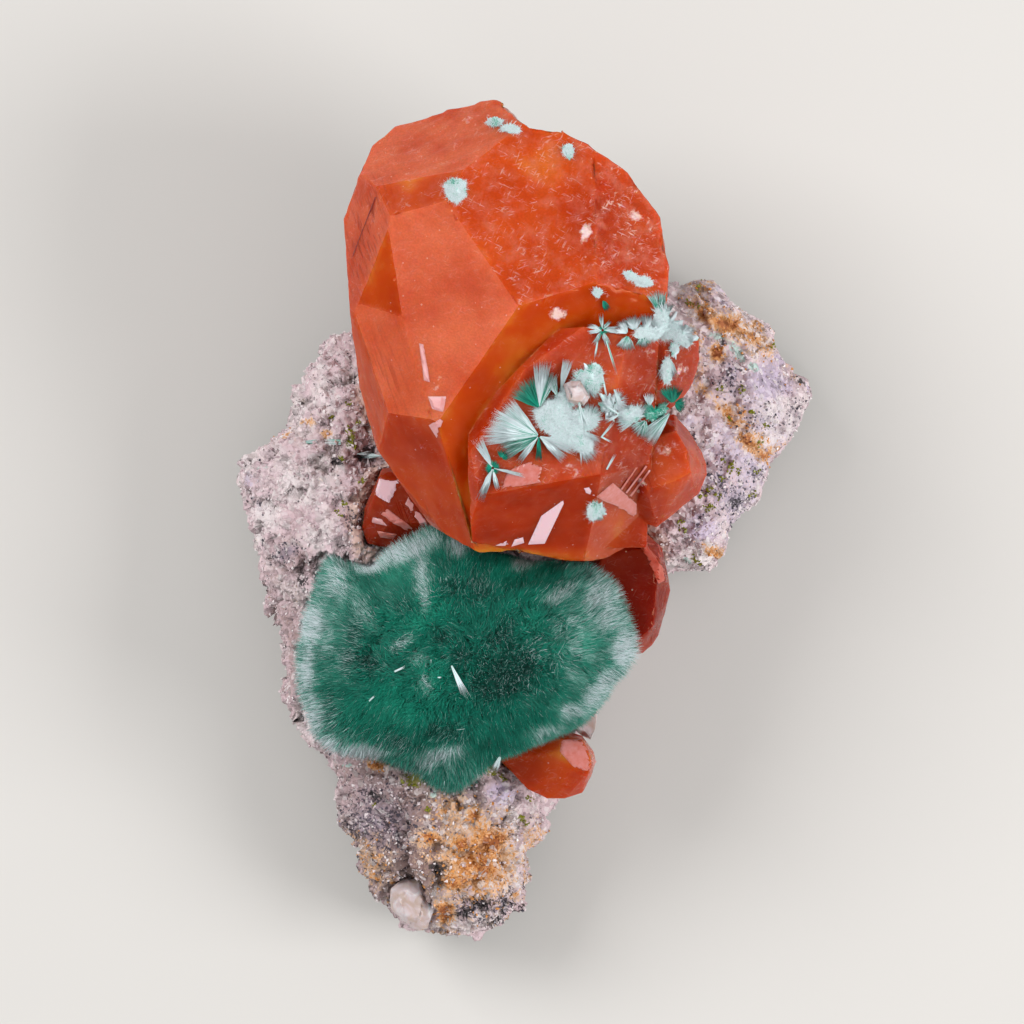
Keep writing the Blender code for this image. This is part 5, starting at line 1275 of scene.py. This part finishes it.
# Fans of fibres on the crystals, for each CAD node: x and y of the root, first and last
# direction in degrees, reach in millimetres, count, and how pale they are
FANS = {
    "spray_main": (
        (0.86, 6.9, 96, 160, 2.0, 420, 0.2), (0.86, 6.9, 74, 98, 2.9, 260, 0.9),
        (0.86, 6.9, 58, 76, 2.4, 170, 0.55), (0.83, 5.24, 124, 150, 2.9, 360, 0.75),
        (0.83, 5.24, 148, 172, 3.2, 420, 0.8), (0.83, 5.24, 170, 190, 3.5, 330, 0.95),
        (0.83, 5.24, 190, 218, 2.5, 360, 0.5), (0.83, 5.24, 226, 238, 2.1, 110, 0.9),
        (0.83, 5.24, 261, 279, 1.6, 140, 0.15), (0.83, 5.24, 308, 326, 2.2, 170, 1.0),
        (0.83, 5.24, 330, 350, 2.6, 160, 1.0), (2.1, 7.9, 66, 86, 2.0, 200, 1.0),
        (2.6, 7.6, 30, 66, 1.5, 160, 0.8), (1.9, 7.6, 90, 130, 1.3, 160, 0.6),
        (3.6, 8.3, 0, 360, 1.2, 420, 0.7), (3.3, 5.6, 250, 340, 1.5, 200, 0.9),
        (3.7, 6.2, 0, 100, 1.1, 260, 0.75), (3.3, 4.9, 270, 330, 1.5, 120, 0.95),
    ),
    "spray_lower_left": (
        (-1.9, 3.35, 108, 130, 2.1, 160, 0.9), (-1.9, 3.35, 240, 256, 2.2, 140, 0.95),
        (-1.9, 3.35, 276, 290, 1.4, 70, 0.9), (-1.9, 3.35, 343, 350, 2.1, 60, 1.0),
        (-1.9, 3.35, 0, 360, 0.55, 200, 0.0), (-1.4, 3.9, 0, 120, 0.6, 110, 0.1),
    ),
    "spray_star": (
        (4.6, 11.5, 150, 172, 1.0, 60, 0.9), (4.6, 11.5, 182, 200, 0.95, 50, 0.9),
        (4.6, 11.5, 85, 105, 1.1, 50, 0.9), (4.6, 11.5, 40, 60, 0.8, 40, 0.8),
        (4.6, 11.5, 345, 375, 1.2, 90, 0.9), (4.6, 11.5, 230, 250, 1.1, 50, 0.8),
        (4.6, 11.5, 280, 300, 1.1, 60, 0.9), (4.6, 11.5, 0, 360, 0.4, 90, 0.1),
    ),
    "spray_upper_right": (
        (6.1, 11.3, 100, 172, 1.0, 200, 0.95), (6.5, 11.5, 55, 150, 1.0, 240, 0.9),
        (7.2, 11.4, 66, 112, 1.2, 200, 1.0), (6.1, 11.2, 220, 300, 1.0, 220, 0.65),
        (7.0, 11.2, 230, 330, 0.8, 160, 0.6), (8.0, 12.6, 60, 130, 1.4, 220, 0.5),
        (8.4, 12.2, 60, 150, 1.2, 160, 0.8), (8.5, 10.0, 240, 300, 1.6, 160, 0.95),
        (9.3, 11.4, 280, 400, 1.0, 200, 1.0),
    ),
    "spray_right": (
        (8.65, 6.65, 212, 246, 2.4, 320, 0.75), (8.8, 7.2, 50, 140, 1.2, 260, 0.1),
        (8.9, 7.2, 300, 400, 0.8, 120, 0.2), (6.6, 6.2, 50, 130, 1.1, 160, 0.9),
        (6.6, 6.2, 130, 220, 1.3, 200, 0.85), (7.2, 6.2, 200, 280, 1.2, 160, 0.6),
        (7.8, 6.6, 120, 200, 1.0, 160, 0.35), (5.3, 7.0, 90, 270, 0.9, 160, 1.0),
        (5.3, 7.2, 270, 450, 1.0, 130, 1.0), (7.4, 7.0, 60, 120, 0.9, 90, 1.0),
    ),
    "spray_button": ((4.3, 0.75, 0, 360, 0.66, 300, 0.9),),
    "spray_small": ((4.45, 13.35, 96, 150, 0.75, 110, 1.0), (4.6, 13.3, 280, 320, 0.8, 50, 0.1)),
    "needle_blade": ((-8.6, 4.12, 172, 186, 1.75, 60, 0.85), (-10.2, 4.25, -6, 8, 1.4, 40, 0.9)),
}

# Felted patches of short fibres on the crystals, for each CAD node: x and y of the middle,
# half sizes, turn in degrees, count, length in millimetres, and how pale they are
FELTS = {
    "spray_main": (
        (1.7, 6.4, 1.15, 0.95, -20, 3600, 0.42, 1.2), (2.4, 5.45, 1.1, 0.85, -30, 3000, 0.42, 1.2),
        (3.3, 4.8, 0.9, 0.45, -20, 1200, 0.4, 1.1), (3.5, 6.2, 0.9, 0.7, 0, 1500, 0.4, 1.0),
        (3.9, 8.7, 0.95, 1.0, 0, 1700, 0.4, 0.85), (2.4, 7.5, 0.5, 0.7, 20, 800, 0.4, 0.9),
        (4.9, 7.0, 0.5, 0.9, 20, 900, 0.4, 1.0),
    ),
    "spray_upper_right": (
        (8.5, 11.9, 1.05, 0.95, 0, 3800, 0.4, 1.3), (9.45, 11.2, 0.95, 0.6, -35, 2100, 0.4, 1.3),
        (7.4, 11.4, 0.9, 0.5, 0, 1300, 0.4, 1.1), (8.9, 10.3, 0.25, 0.5, 0, 500, 0.35, 1.2),
        (8.5, 9.1, 0.32, 0.8, 0, 1100, 0.35, 1.2),
    ),
    "spray_right": ((6.3, 6.5, 0.9, 0.5, 0, 700, 0.4, 1.0), (7.9, 6.6, 0.9, 0.4, 30, 700, 0.4, 0.5)),
    "spray_button": ((4.3, 0.75, 0.6, 0.6, 0, 800, 0.35, 1.0),),
    "spray_small": ((4.3, 13.75, 0.3, 0.3, 0, 350, 0.3, 1.2),),
    "spray_frost": (
        (6.3, 14.75, 0.45, 0.25, -30, 700, 0.3, 1.3), (7.1, 14.35, 0.55, 0.32, -15, 1000, 0.32, 1.3),
    ),
    "patch_upper": ((-4.1, 19.8, 0.75, 0.75, 0, 2200, 0.3, 1.0),),
    "patch_right_top": ((2.6, 22.2, 0.35, 0.5, 0, 700, 0.28, 0.95),),
    "patch_top": ((-1.8, 24.0, 0.5, 0.3, 0, 600, 0.28, 0.95), (-0.9, 23.5, 0.6, 0.25, -10, 800, 0.3, 1.1)),
}

# Single bundles of needles on the mat, the rock and the crystals: start and end in
# millimetres, seen from above, widths at the start and at the end, and how pale they are
BUNDLES = (
    (-4.37, -8.44, -3.39, -10.5, 0.05, 0.5, 1.0), (-7.79, -8.81, -7.09, -8.48, 0.05, 0.1, 1.1),
    (-9.31, -10.58, -8.94, -10.21, 0.04, 0.06, 1.0), (-5.2, -9.16, -4.96, -9.16, 0.04, 0.06, 1.0),
    (-13.57, 4.95, -12.2, 5.0, 0.06, 0.3, 0.8), (-11.1, 4.95, -12.2, 5.0, 0.25, 0.3, 0.85),
    (-1.48, -13.96, -1.9, -15.04, 0.1, 0.5, 1.1), (-2.26, -14.44, -2.44, -15.1, 0.06, 0.3, 1.1),
    (-6.58, -14.86, -6.76, -15.64, 0.04, 0.1, 0.9), (4.52, 5.15, 5.44, 6.26, 0.05, 0.16, 1.2),
    (4.52, 5.21, 5.24, 4.82, 0.05, 0.1, 1.2), (4.86, 3.26, 5.44, 4.3, 0.05, 0.14, 1.2),
    (4.82, 10.9, 5.5, 8.7, 0.05, 0.14, 0.9), (4.3, 10.8, 4.1, 9.6, 0.05, 0.12, 0.8),
    (4.5, 9.3, 5.0, 6.8, 0.04, 0.1, 0.9), (5.6, 6.5, 4.2, 7.4, 0.05, 0.2, 1.0),
    (5.6, 6.5, 4.6, 6.0, 0.05, 0.25, 1.1), (3.2, 7.2, 3.7, 5.2, 0.06, 0.25, 1.1),
    (5.3, 8.0, 5.9, 6.6, 0.05, 0.3, 1.2),
)

# A direction that no needle runs in, to find the sides of the needles from
ASKEW = (0.31, -0.55, 0.77)

# Width of a bent needle at its middle, against its root
NEEDLE_TAPER = 0.85


def needles(roots, tips, widths, bends=None):
    """Three-sided needles as points and triangles, with how far along its needle each point is.

    With bends they have a ring in the middle that is moved by these.
    """
    way = unit(tips - roots)
    side = unit(np.cross(way, ASKEW))
    other = np.cross(way, side)
    rings = [(roots, 1.0)]
    if bends is not None:
        rings.append(((roots + tips) / 2 + bends, NEEDLE_TAPER))
    parts = []
    for centre, thick in rings:
        for corner in range(3):
            angle = 2 * math.pi * corner / 3
            outward = math.cos(angle) * side + math.sin(angle) * other
            parts.append(centre + thick * widths[:, None] / 2 * outward)
    parts.append(tips)
    top = 3 * len(rings)
    faces = [[top - 3, top - 2, top], [top - 2, top - 1, top], [top - 1, top - 3, top]]
    if bends is not None:
        faces += [[0, 1, 4], [0, 4, 3], [1, 2, 5], [1, 5, 4], [2, 0, 3], [2, 3, 5]]
    count = len(roots)
    triangles = np.array(faces)[None] + len(parts) * np.arange(count)[:, None, None]
    along = np.tile(np.array([0.0] * 3 + [0.5] * (top - 3) + [1.0]), count)
    return np.stack(parts, axis=1).reshape(-1, 3), triangles.reshape(-1, 3), along


def needle_object(name, roots, tips, widths, pale, tone, material, replaced, bends=None):
    """One object of many needles, each with how pale and how bright it is."""
    points, triangles, along = needles(roots, tips, widths, bends)
    per = len(points) // len(roots)
    values = {"along": along, "pale": np.repeat(pale, per), "tone": np.repeat(tone, per)}
    return new_object(name, points, triangles, material, replaced, values)


def silky_malachite(name, settings):
    """Malachite grown as fine needles, in velvety mats and in sprays.

    Each needle is silky along its length and paler towards its tip. Light passes through
    the thin needles, so their shading is turned towards the open side. The roots are deep
    green, for little light gets down to them.
    """
    made, tree = new_material(name)
    along, pale, tone = (add_node(tree, "Attribute", attribute_name=key).outputs["Fac"]
                         for key in ("along", "pale", "tone"))
    green = add_node(tree, "ValToRGB", {"Fac": tone}, stops=[
        (0.0, settings.dark), (0.3, settings.deep), (0.65, settings.green), (1.0, settings.bright)])
    light = add_node(tree, "ValToRGB", {"Fac": pale}, stops=[
        (0.0, settings.green), (0.4, settings.mint), (0.85, settings.white)])
    reach = add_node(tree, "MapRange", {
        "Value": pale, "From Min": 0.15, "From Max": 0.7, "To Min": 4.0, "To Max": 0.1})
    towards_tip = add_node(tree, "Math", {0: along, 1: reach}, operation="POWER")
    strong = add_node(tree, "Math", {0: pale, 1: 1.5}, operation="MULTIPLY", use_clamp=True)
    share = add_node(tree, "Math", {0: towards_tip, 1: strong},
                     operation="MULTIPLY")
    colour = add_node(tree, "MixRGB", {
        "Fac": share, "Color1": green, "Color2": light})
    own = add_node(tree, "NewGeometry")
    lifted = add_node(tree, "VectorMath", {
        0: own.outputs["Normal"], 1: (0.4, 0.4, 0.4), 2: (0.0, 0.0, 0.8)}, operation="MULTIPLY_ADD")
    soft = add_node(tree, "VectorMath", {0: lifted}, operation="NORMALIZE")
    shader = add_node(tree, "BsdfPrincipled", {
        "Base Color": colour, "Roughness": 0.42, "Normal": soft,
        "Specular IOR Level": 0.2})
    add_node(tree, "OutputMaterial", {"Surface": shader})
    return made


def velvet_ground(name, settings):
    """Felted malachite below the needle tips, matt and nearly black-green where the needles shade it."""
    made, tree = new_material(name)
    place = add_node(tree, "TexCoord").outputs["Object"]
    felt = add_node(tree, "TexNoise", {"Vector": place, "Scale": per_metre(0.3), "Detail": 3.0})
    green = add_node(tree, "ValToRGB", {"Fac": felt}, stops=[
        (0.35, settings.dark), (0.7, settings.deep)])
    pale = add_node(tree, "Attribute", attribute_name="pale")
    share = add_node(tree, "MapRange", {
        "Value": pale.outputs["Fac"], "From Min": 0.2, "From Max": 1.0, "To Max": 0.9})
    colour = add_node(tree, "MixRGB", {
        "Fac": share, "Color1": green, "Color2": settings.mint})
    shader = add_node(tree, "BsdfPrincipled", {"Base Color": colour, "Roughness": 0.9})
    add_node(tree, "OutputMaterial", {"Surface": shader})
    return made


class MalachiteSettings(bpy.types.PropertyGroup):
    """Sizes and colours of the malachite."""
    needle_width: size_setting("Needle width", "Thickness of a needle of the mat", 0.045)
    pile: size_setting("Pile", "Height of the needles over their felted ground", 0.75)
    mat_count: IntProperty(
        name="Mat needles", description="Needles in each of the two layers of the mat",
        default=66000, min=0)
    spray_width: size_setting("Fibre width", "Thickness of a fibre of the sprays", 0.055)
    dark: colour_setting("Dark colour", "Shaded roots", "#0C433A")
    deep: colour_setting("Deep colour", "Deep green", "#047763")
    green: colour_setting("Green colour", "Malachite green", "#109E82")
    bright: colour_setting("Bright colour", "Brightest green", "#40C8A6")
    mint: colour_setting("Mint colour", "Pale needles", "#AEE6DC")
    white: colour_setting("White colour", "Cottony needles", "#EEFAFF")


class SPECIMEN_OT_mat(bpy.types.Operator):
    """Build the velvety malachite mat: its felted ground and two layers of needles"""
    bl_idname = "specimen.mat"
    bl_label = "Malachite mat"

    def execute(self, context):
        settings = context.scene.specimen_malachite
        material = silky_malachite("silky_malachite", settings)
        points, triangles = fine_mesh("malachite_mat", MAT_SPACING, 3)
        normals = normals_of(points, triangles)
        uneven = noise_at(points, 1.3, 81) + 0.6 * noise_at(points, 0.6, 82)
        cover = points + 0.14 * uneven[:, None] * normals
        ground = cover - settings.pile / MM * 0.85 * normals
        new_object("malachite_mat_ground", ground, triangles,
                   velvet_ground("felted_malachite", settings), ("malachite_mat",),
                   {"pale": spots_at(cover, MAT_SPOTS["pale"])})

        shown = triangles[unit(facings_of(cover, triangles))[:, 2] > -0.25]
        self.needle_layer("malachite_mat_needles", cover, shown, settings, material, 0.55, 83)
        self.needle_layer("malachite_mat_tufts", cover, shown, settings, material, 0.95, 93)
        return {"FINISHED"}

    def needle_layer(self, name, cover, triangles, settings, material, reach, seed):
        """One layer of needles, in tufts that spread from below, with tips at the mat's surface."""
        rng = np.random.default_rng(seed)
        tips, ways = scattered(cover, triangles, settings.mat_count, seed)
        count = len(tips)
        outward = tips[:, :2] - MAT_MIDDLE
        far = np.linalg.norm(outward / MAT_HALF_SIZE, axis=1)
        pale = spots_at(tips, MAT_SPOTS["pale"]) + 0.25 * noise_at(tips, 0.9, seed + 5)
        pale = np.clip(pale, 0.0, 1.3)
        speckled = spots_at(tips, MAT_SPOTS["speckled"]) * (1 - eased(pale, 0.5, 0.9))
        lean = np.zeros((count, 3))
        lean[:, :2] = unit(outward)
        lean *= (0.35 + 1.0 * eased(far, 0.4, 1.0))[:, None]
        near, _, _, way = grains_at(tips, TUFT_SIZE, seed + 1)
        swirl = noise_ways(tips, 1.6, (seed + 2, seed + 3, seed + 4))
        bent = lean + 0.8 * way / TUFT_SIZE + 0.8 * swirl
        run = unit(ways + bent * (1 - 0.75 * speckled)[:, None] + rng.normal(0.0, 0.22, (count, 3)))
        lengths = reach * rng.uniform(0.6, 1.2, count) * (1 + 0.5 * eased(far, 0.4, 0.9))
        bright = spots_at(tips, MAT_SPOTS["bright"])
        tone = 0.38 + 0.27 * bright - 0.32 * speckled + 0.16 * noise_at(tips, 1.2, seed + 6)
        tone += rng.normal(0.0, 0.15, count)
        fleck = rng.random(count) < 0.03 + 0.24 * speckled
        fringe = eased(far, 0.82, 1.05)
        pale = pale * rng.uniform(0.1, 1.5, count) + np.where(fleck, rng.uniform(0.3, 0.6, count), 0.0)
        pale += 0.5 * fringe * rng.random(count)
        shorter = 0.1 + 0.5 * eased(near, 0.35, 1.0) * rng.random(count) + 0.25 * speckled
        longer = 0.12 + 0.7 * fringe * rng.random(count) ** 3
        tips = tips - ways * (0.3 * shorter)[:, None] + run * longer[:, None]
        roots = tips - run * lengths[:, None]
        widths = settings.needle_width / MM * rng.uniform(0.6, 1.25, count)
        needle_object(name, roots, tips, widths, np.clip(pale, 0.0, 1.0), np.clip(tone, 0.0, 1.0),
                      material, ("malachite_mat",))


# Height of a fan over its root, how far fibres and mounds reach down beside it for each
# millimetre across, and the spacing of the fibres in a bundle
FAN_HEIGHT = 1.2
FELT_DROP = 0.6
MOUND_DROP = 0.5
BUNDLE_SPACING = 0.05


class SPECIMEN_OT_sprays(bpy.types.Operator):
    """Build the fans and felted patches of malachite on the crystals, and the needles on the rock"""
    bl_idname = "specimen.sprays"
    bl_label = "Malachite sprays"

    def execute(self, context):
        settings = context.scene.specimen_malachite
        material = silky_malachite("silky_malachite_sprays", settings)
        below = tree_of("crystal_cluster", "matrix")
        for node, rows in FANS.items():
            top = tree_of(node)
            rng = np.random.default_rng(len(node) + 100)
            roots, tips, pale, tone = joined(self.fan(*row, below, top, rng) for row in rows)
            widths = settings.spray_width / MM * rng.uniform(0.6, 1.2, len(roots))
            bends = rng.normal(0.0, 0.03, roots.shape) + np.array([0.0, 0.0, 0.05])
            needle_object(node + "_fans", roots, tips, widths, pale, tone, material,
                          (node,), bends)
        for node, rows in FELTS.items():
            top = tree_of(node)
            rng = np.random.default_rng(len(node) + 200)
            roots, tips, pale, tone = joined(self.felt(*row, below, top, rng) for row in rows)
            widths = 0.75 * settings.spray_width / MM * rng.uniform(0.6, 1.2, len(roots))
            felt = needle_object(node + "_felt", roots, tips, widths, pale, tone,
                                 material, (node,))
            # Light scatters between cottony fibres until they look white, so they don't shade each other
            felt.visible_diffuse = False
            felt.visible_shadow = False
            points, triangles, pale = self.mounds(rows, below, top)
            new_object(node + "_felt_ground", points, triangles, material, (node,),
                       {"along": np.ones(len(points)), "pale": pale, "tone": np.full(len(points), 0.8)})
        roots, tips, widths, pale, tone = self.bundles()
        needle_object("loose_needles", roots, tips, widths, pale, tone, material, (),
                      np.zeros(roots.shape))
        return {"FINISHED"}

    def mounds(self, rows, below, top):
        """Low uneven mounds that the felted fibres lie on, with edges that run into the crystals."""
        rings, spokes = 9, 40
        angle = np.tile(np.arange(spokes) * 2 * math.pi / spokes, rings)
        part = np.repeat((np.arange(rings) + 0.3) / (rings - 0.7), spokes)
        way = np.stack([np.cos(angle), np.sin(angle), 0 * angle], axis=1)
        points, triangles, pale = [], [], []
        for x, y, long, across, turn, _, _, paleness in rows:
            start = sum(len(mound) for mound in points)
            far = part * (0.86 + 0.55 * noise_at(way * 1.7 + (x, y, 0.0), 0.6, 96))
            east, north = turned(long * far * way[:, 0], across * far * way[:, 1], turn)
            here = []
            least = height_at(below, x, y) - MOUND_DROP * max(long, across)
            for place, share in zip(np.stack([x + east, y + north], axis=1), part):
                under = max(height_at(below, *place, 0.0), least)
                over = max(height_at(top, *place, 0.0), under + 0.1)
                here.append((*place, under - 0.06 + (0.2 + 0.6 * (over - under)) * (1 - share ** 3)))
            here = np.array(here)
            here[:, 2] += 0.2 * noise_at(here, 0.42, 97) * (1 - 0.7 * part)
            points.append(here)
            ring, spoke = np.divmod(np.arange((rings - 1) * spokes), spokes)
            near, next_near = ring * spokes + spoke, ring * spokes + (spoke + 1) % spokes
            triangles.append(start + np.stack([near, near + spokes, next_near + spokes], axis=1))
            triangles.append(start + np.stack([near, next_near + spokes, next_near], axis=1))
            cap = [[0, number, number + 1] for number in range(1, spokes - 1)]
            triangles.append(start + np.array(cap))
            pale.append(np.clip(paleness * (0.8 + 0.8 * noise_at(here, 0.4, 98)), 0.25, 1.0))
        return np.vstack(points), np.vstack(triangles), np.concatenate(pale)

    def bundles(self):
        """Fibres of the single bundles, spread evenly between their two sides."""
        rng = np.random.default_rng(91)
        tree = tree_of(*(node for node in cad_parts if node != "needle_blade"))
        roots, tips, widths, pale = [], [], [], []
        for x, y, end_x, end_y, start_width, end_width, paleness in BUNDLES:
            run = np.array([end_x - x, end_y - y])
            side = np.array([-run[1], run[0]]) / np.linalg.norm(run)
            count = 2 + int(max(start_width, end_width) / BUNDLE_SPACING)
            for share in np.linspace(-0.5, 0.5, count):
                start = np.array([x, y]) + side * start_width * share
                end = np.array([end_x, end_y]) + side * end_width * share + run * rng.uniform(-0.25, 0.03)
                base = height_at(tree, *start)
                roots.append((*start, base + 0.05))
                tips.append((*end, max(height_at(tree, *end), base - 0.8) + 0.12))
                widths.append(rng.uniform(0.04, 0.07))
                pale.append(min(paleness * rng.uniform(0.6, 1.1), 1.0))
        return (np.array(roots), np.array(tips), np.array(widths), np.array(pale),
                np.full(len(roots), 0.8))

    def fan(self, x, y, first, last, reach, count, paleness, below, top, rng):
        """Fibres that spread from one root over the crystal below."""
        turns = np.radians(rng.uniform(first, last, count))
        lengths = reach * rng.uniform(0.45, 1.0, count) ** 0.7
        rise = rng.random(count)
        roots, tips = [], []
        base = max(height_at(below, x, y), height_at(top, x, y, 0.0) - FAN_HEIGHT)
        for turn, length, high in zip(turns, lengths, rise):
            start = (x + 0.08 * math.cos(turn), y + 0.08 * math.sin(turn))
            end = (x + length * math.cos(turn), y + length * math.sin(turn))
            under = max(height_at(below, *end, base), base - FELT_DROP * length)
            over = max(height_at(top, *end, under + 0.15), under + 0.1)
            roots.append((*start, base + 0.05 + 0.25 * high))
            tips.append((*end, under + 0.06 + high * min(over - under, 0.22 * length + 0.15)))
        part = lengths / reach
        pale = np.clip(paleness * rng.uniform(0.6, 1.3, count) + 0.25 * (part - 0.6), 0.0, 1.0)
        tone = np.clip(0.75 - 0.25 * part + rng.normal(0.0, 0.16, count), 0.0, 1.0)
        return np.array(roots), np.array(tips), pale, tone

    def felt(self, x, y, long, across, turn, count, length, paleness, below, top, rng):
        """Short fibres that lie in all directions over the crystal below."""
        angle = rng.uniform(0.0, 2 * math.pi, count)
        far = np.sqrt(rng.random(count))
        east, north = turned(long * far * np.cos(angle), across * far * np.sin(angle), turn)
        middles = np.stack([x + east, y + north, 0 * east], axis=1)
        kept = []
        least = height_at(below, x, y) - FELT_DROP * max(long, across)
        runs = rng.normal(size=(count, 3)) * np.array([1.0, 1.0, 0.45])
        runs *= (length * rng.uniform(0.5, 1.3, count) / np.linalg.norm(runs, axis=1))[:, None]
        outward = np.stack([east, north, rng.uniform(0.0, 0.4, count)], axis=1)
        outward = unit(outward + rng.normal(0.0, 0.25, (count, 3)))
        longer = (rng.random(count) < 0.3) & (far > 0.55)
        runs = np.where(longer[:, None], 3.0 * length * rng.uniform(0.4, 1.0, (count, 1)) * outward, runs)
        edge = 0.8 * noise_at(middles, 0.6, 95) - 1.4 * (far - 0.75)
        patchy = noise_at(middles, 0.5, 99)
        for number in np.flatnonzero(edge > -0.3):
            over = height_at(top, *middles[number, :2])
            under = height_at(below, *middles[number, :2])
            if over is None or under is None or under < least:
                continue
            mound = max(0.6 * (over - under), 0.05) * (1 - far[number] ** 3)
            middles[number, 2] = under + 0.1 + mound + 0.14 * rng.random()
            kept.append(number)
        pale = paleness * rng.uniform(0.75, 1.2, len(kept)) + 0.6 * np.minimum(patchy[kept], 0.1)
        tone = np.clip(rng.normal(0.75, 0.2, len(kept)), 0.0, 1.0)
        roots = middles[kept] - runs[kept] / 2
        return roots, roots + runs[kept], np.clip(pale, 0.15, 1.0), tone


# Stage

# Place and width of the two soft lights, and width of the floor, in metres
KEY_LIGHT = ((-0.26, 0.16, 0.34), 0.24)
FILL_LIGHT = ((0.30, -0.06, 0.26), 0.20)
FLOOR_WIDTH = 1.6


class StageSettings(bpy.types.PropertyGroup):
    """Camera, floor and lights."""
    lens: FloatProperty(name="Lens", description="Focal length of the camera", default=400.0,
                        min=20.0, unit="CAMERA")
    floor: colour_setting("Floor colour", "Plain pale floor", "#DAD7D3")
    sky_strength: FloatProperty(
        name="Room light", description="Strength of the even light from all around", default=0.5, min=0.0)
    key_power: FloatProperty(
        name="Key light", description="Power of the soft light at the upper left", default=1.1, min=0.0,
        unit="POWER")
    fill_power: FloatProperty(
        name="Fill light", description="Power of the soft light at the right", default=0.9, min=0.0,
        unit="POWER")


def soft_light(name, place, size, power):
    """Square soft light that looks at the specimen."""
    data = bpy.data.lights.new(name, "AREA")
    data.energy = power
    data.size = size
    made = bpy.data.objects.new(name, data)
    made.location = place
    made.rotation_euler = (-Vector(place)).to_track_quat("-Z", "Y").to_euler()
    made.visible_camera = False
    bpy.context.scene.collection.objects.link(made)


class SPECIMEN_OT_stage(bpy.types.Operator):
    """Make the camera, the pale floor and the soft lights"""
    bl_idname = "specimen.stage"
    bl_label = "Stage"

    def execute(self, context):
        settings = context.scene.specimen_stage
        scene = context.scene
        scene.view_settings.view_transform = "Standard"
        scene.cycles.max_bounces = 5
        scene.cycles.diffuse_bounces = 1
        scene.cycles.glossy_bounces = 1
        scene.cycles.transmission_bounces = 4
        scene.cycles.use_light_tree = False

        data = bpy.data.cameras.new("camera")
        data.lens = settings.lens
        data.sensor_width = SENSOR_WIDTH
        distance = settings.lens / SENSOR_WIDTH * VIEW_WIDTH
        data.clip_start = 0.01
        data.clip_end = 10.0
        camera = bpy.data.objects.new("camera", data)
        camera.location = (VIEW_CENTRE[0] * MM, VIEW_CENTRE[1] * MM, (VIEW_HEIGHT + distance) * MM)
        scene.collection.objects.link(camera)
        scene.camera = camera

        paper, tree = new_material("matt_paper")
        shader = add_node(tree, "BsdfDiffuse", {"Color": settings.floor})
        add_node(tree, "OutputMaterial", {"Surface": shader})
        bpy.ops.mesh.primitive_plane_add(size=FLOOR_WIDTH, location=(0.0, 0.0, 0.0))
        floor = context.object
        floor.name = "floor"
        floor.data.materials.append(paper)

        world = bpy.data.worlds.new("room")
        world.use_nodes = True
        background = world.node_tree.nodes["Background"]
        background.inputs["Color"].default_value = (1.0, 1.0, 1.0, 1.0)
        background.inputs["Strength"].default_value = settings.sky_strength
        world.cycles.sampling_method = "NONE"
        scene.world = world
        soft_light("key_light", *KEY_LIGHT, settings.key_power)
        soft_light("fill_light", *FILL_LIGHT, settings.fill_power)
        return {"FINISHED"}


# Panel and registering

OPERATORS = (
    SPECIMEN_OT_stage, SPECIMEN_OT_rock, SPECIMEN_OT_crystals, SPECIMEN_OT_mat, SPECIMEN_OT_sprays,
)


class SPECIMEN_PT_panel(bpy.types.Panel):
    """Panel with one button for each piece"""
    bl_idname = "SPECIMEN_PT_panel"
    bl_label = "Malachite specimen"
    bl_space_type = "VIEW_3D"
    bl_region_type = "UI"
    bl_category = "Specimen"

    def draw(self, context):
        for operator in OPERATORS:
            self.layout.operator(operator.bl_idname)


SETTINGS = {
    "specimen_stage": StageSettings,
    "specimen_rock": RockSettings,
    "specimen_crystals": CrystalSettings,
    "specimen_malachite": MalachiteSettings,
}


def register():
    """Register the settings, the operators and the panel."""
    for name, group in SETTINGS.items():
        bpy.utils.register_class(group)
        setattr(bpy.types.Scene, name, PointerProperty(type=group))
    for made in (*OPERATORS, SPECIMEN_PT_panel):
        bpy.utils.register_class(made)


def unregister():
    """Undo what register did."""
    for made in (*OPERATORS, SPECIMEN_PT_panel):
        bpy.utils.unregister_class(made)
    for name, group in SETTINGS.items():
        delattr(bpy.types.Scene, name)
        bpy.utils.unregister_class(group)


def main():
    """Build everything."""
    register()
    bpy.ops.specimen.stage()
    bpy.ops.specimen.rock()
    bpy.ops.specimen.crystals()
    bpy.ops.specimen.mat()
    bpy.ops.specimen.sprays()


if __name__ == "__main__":
    main()
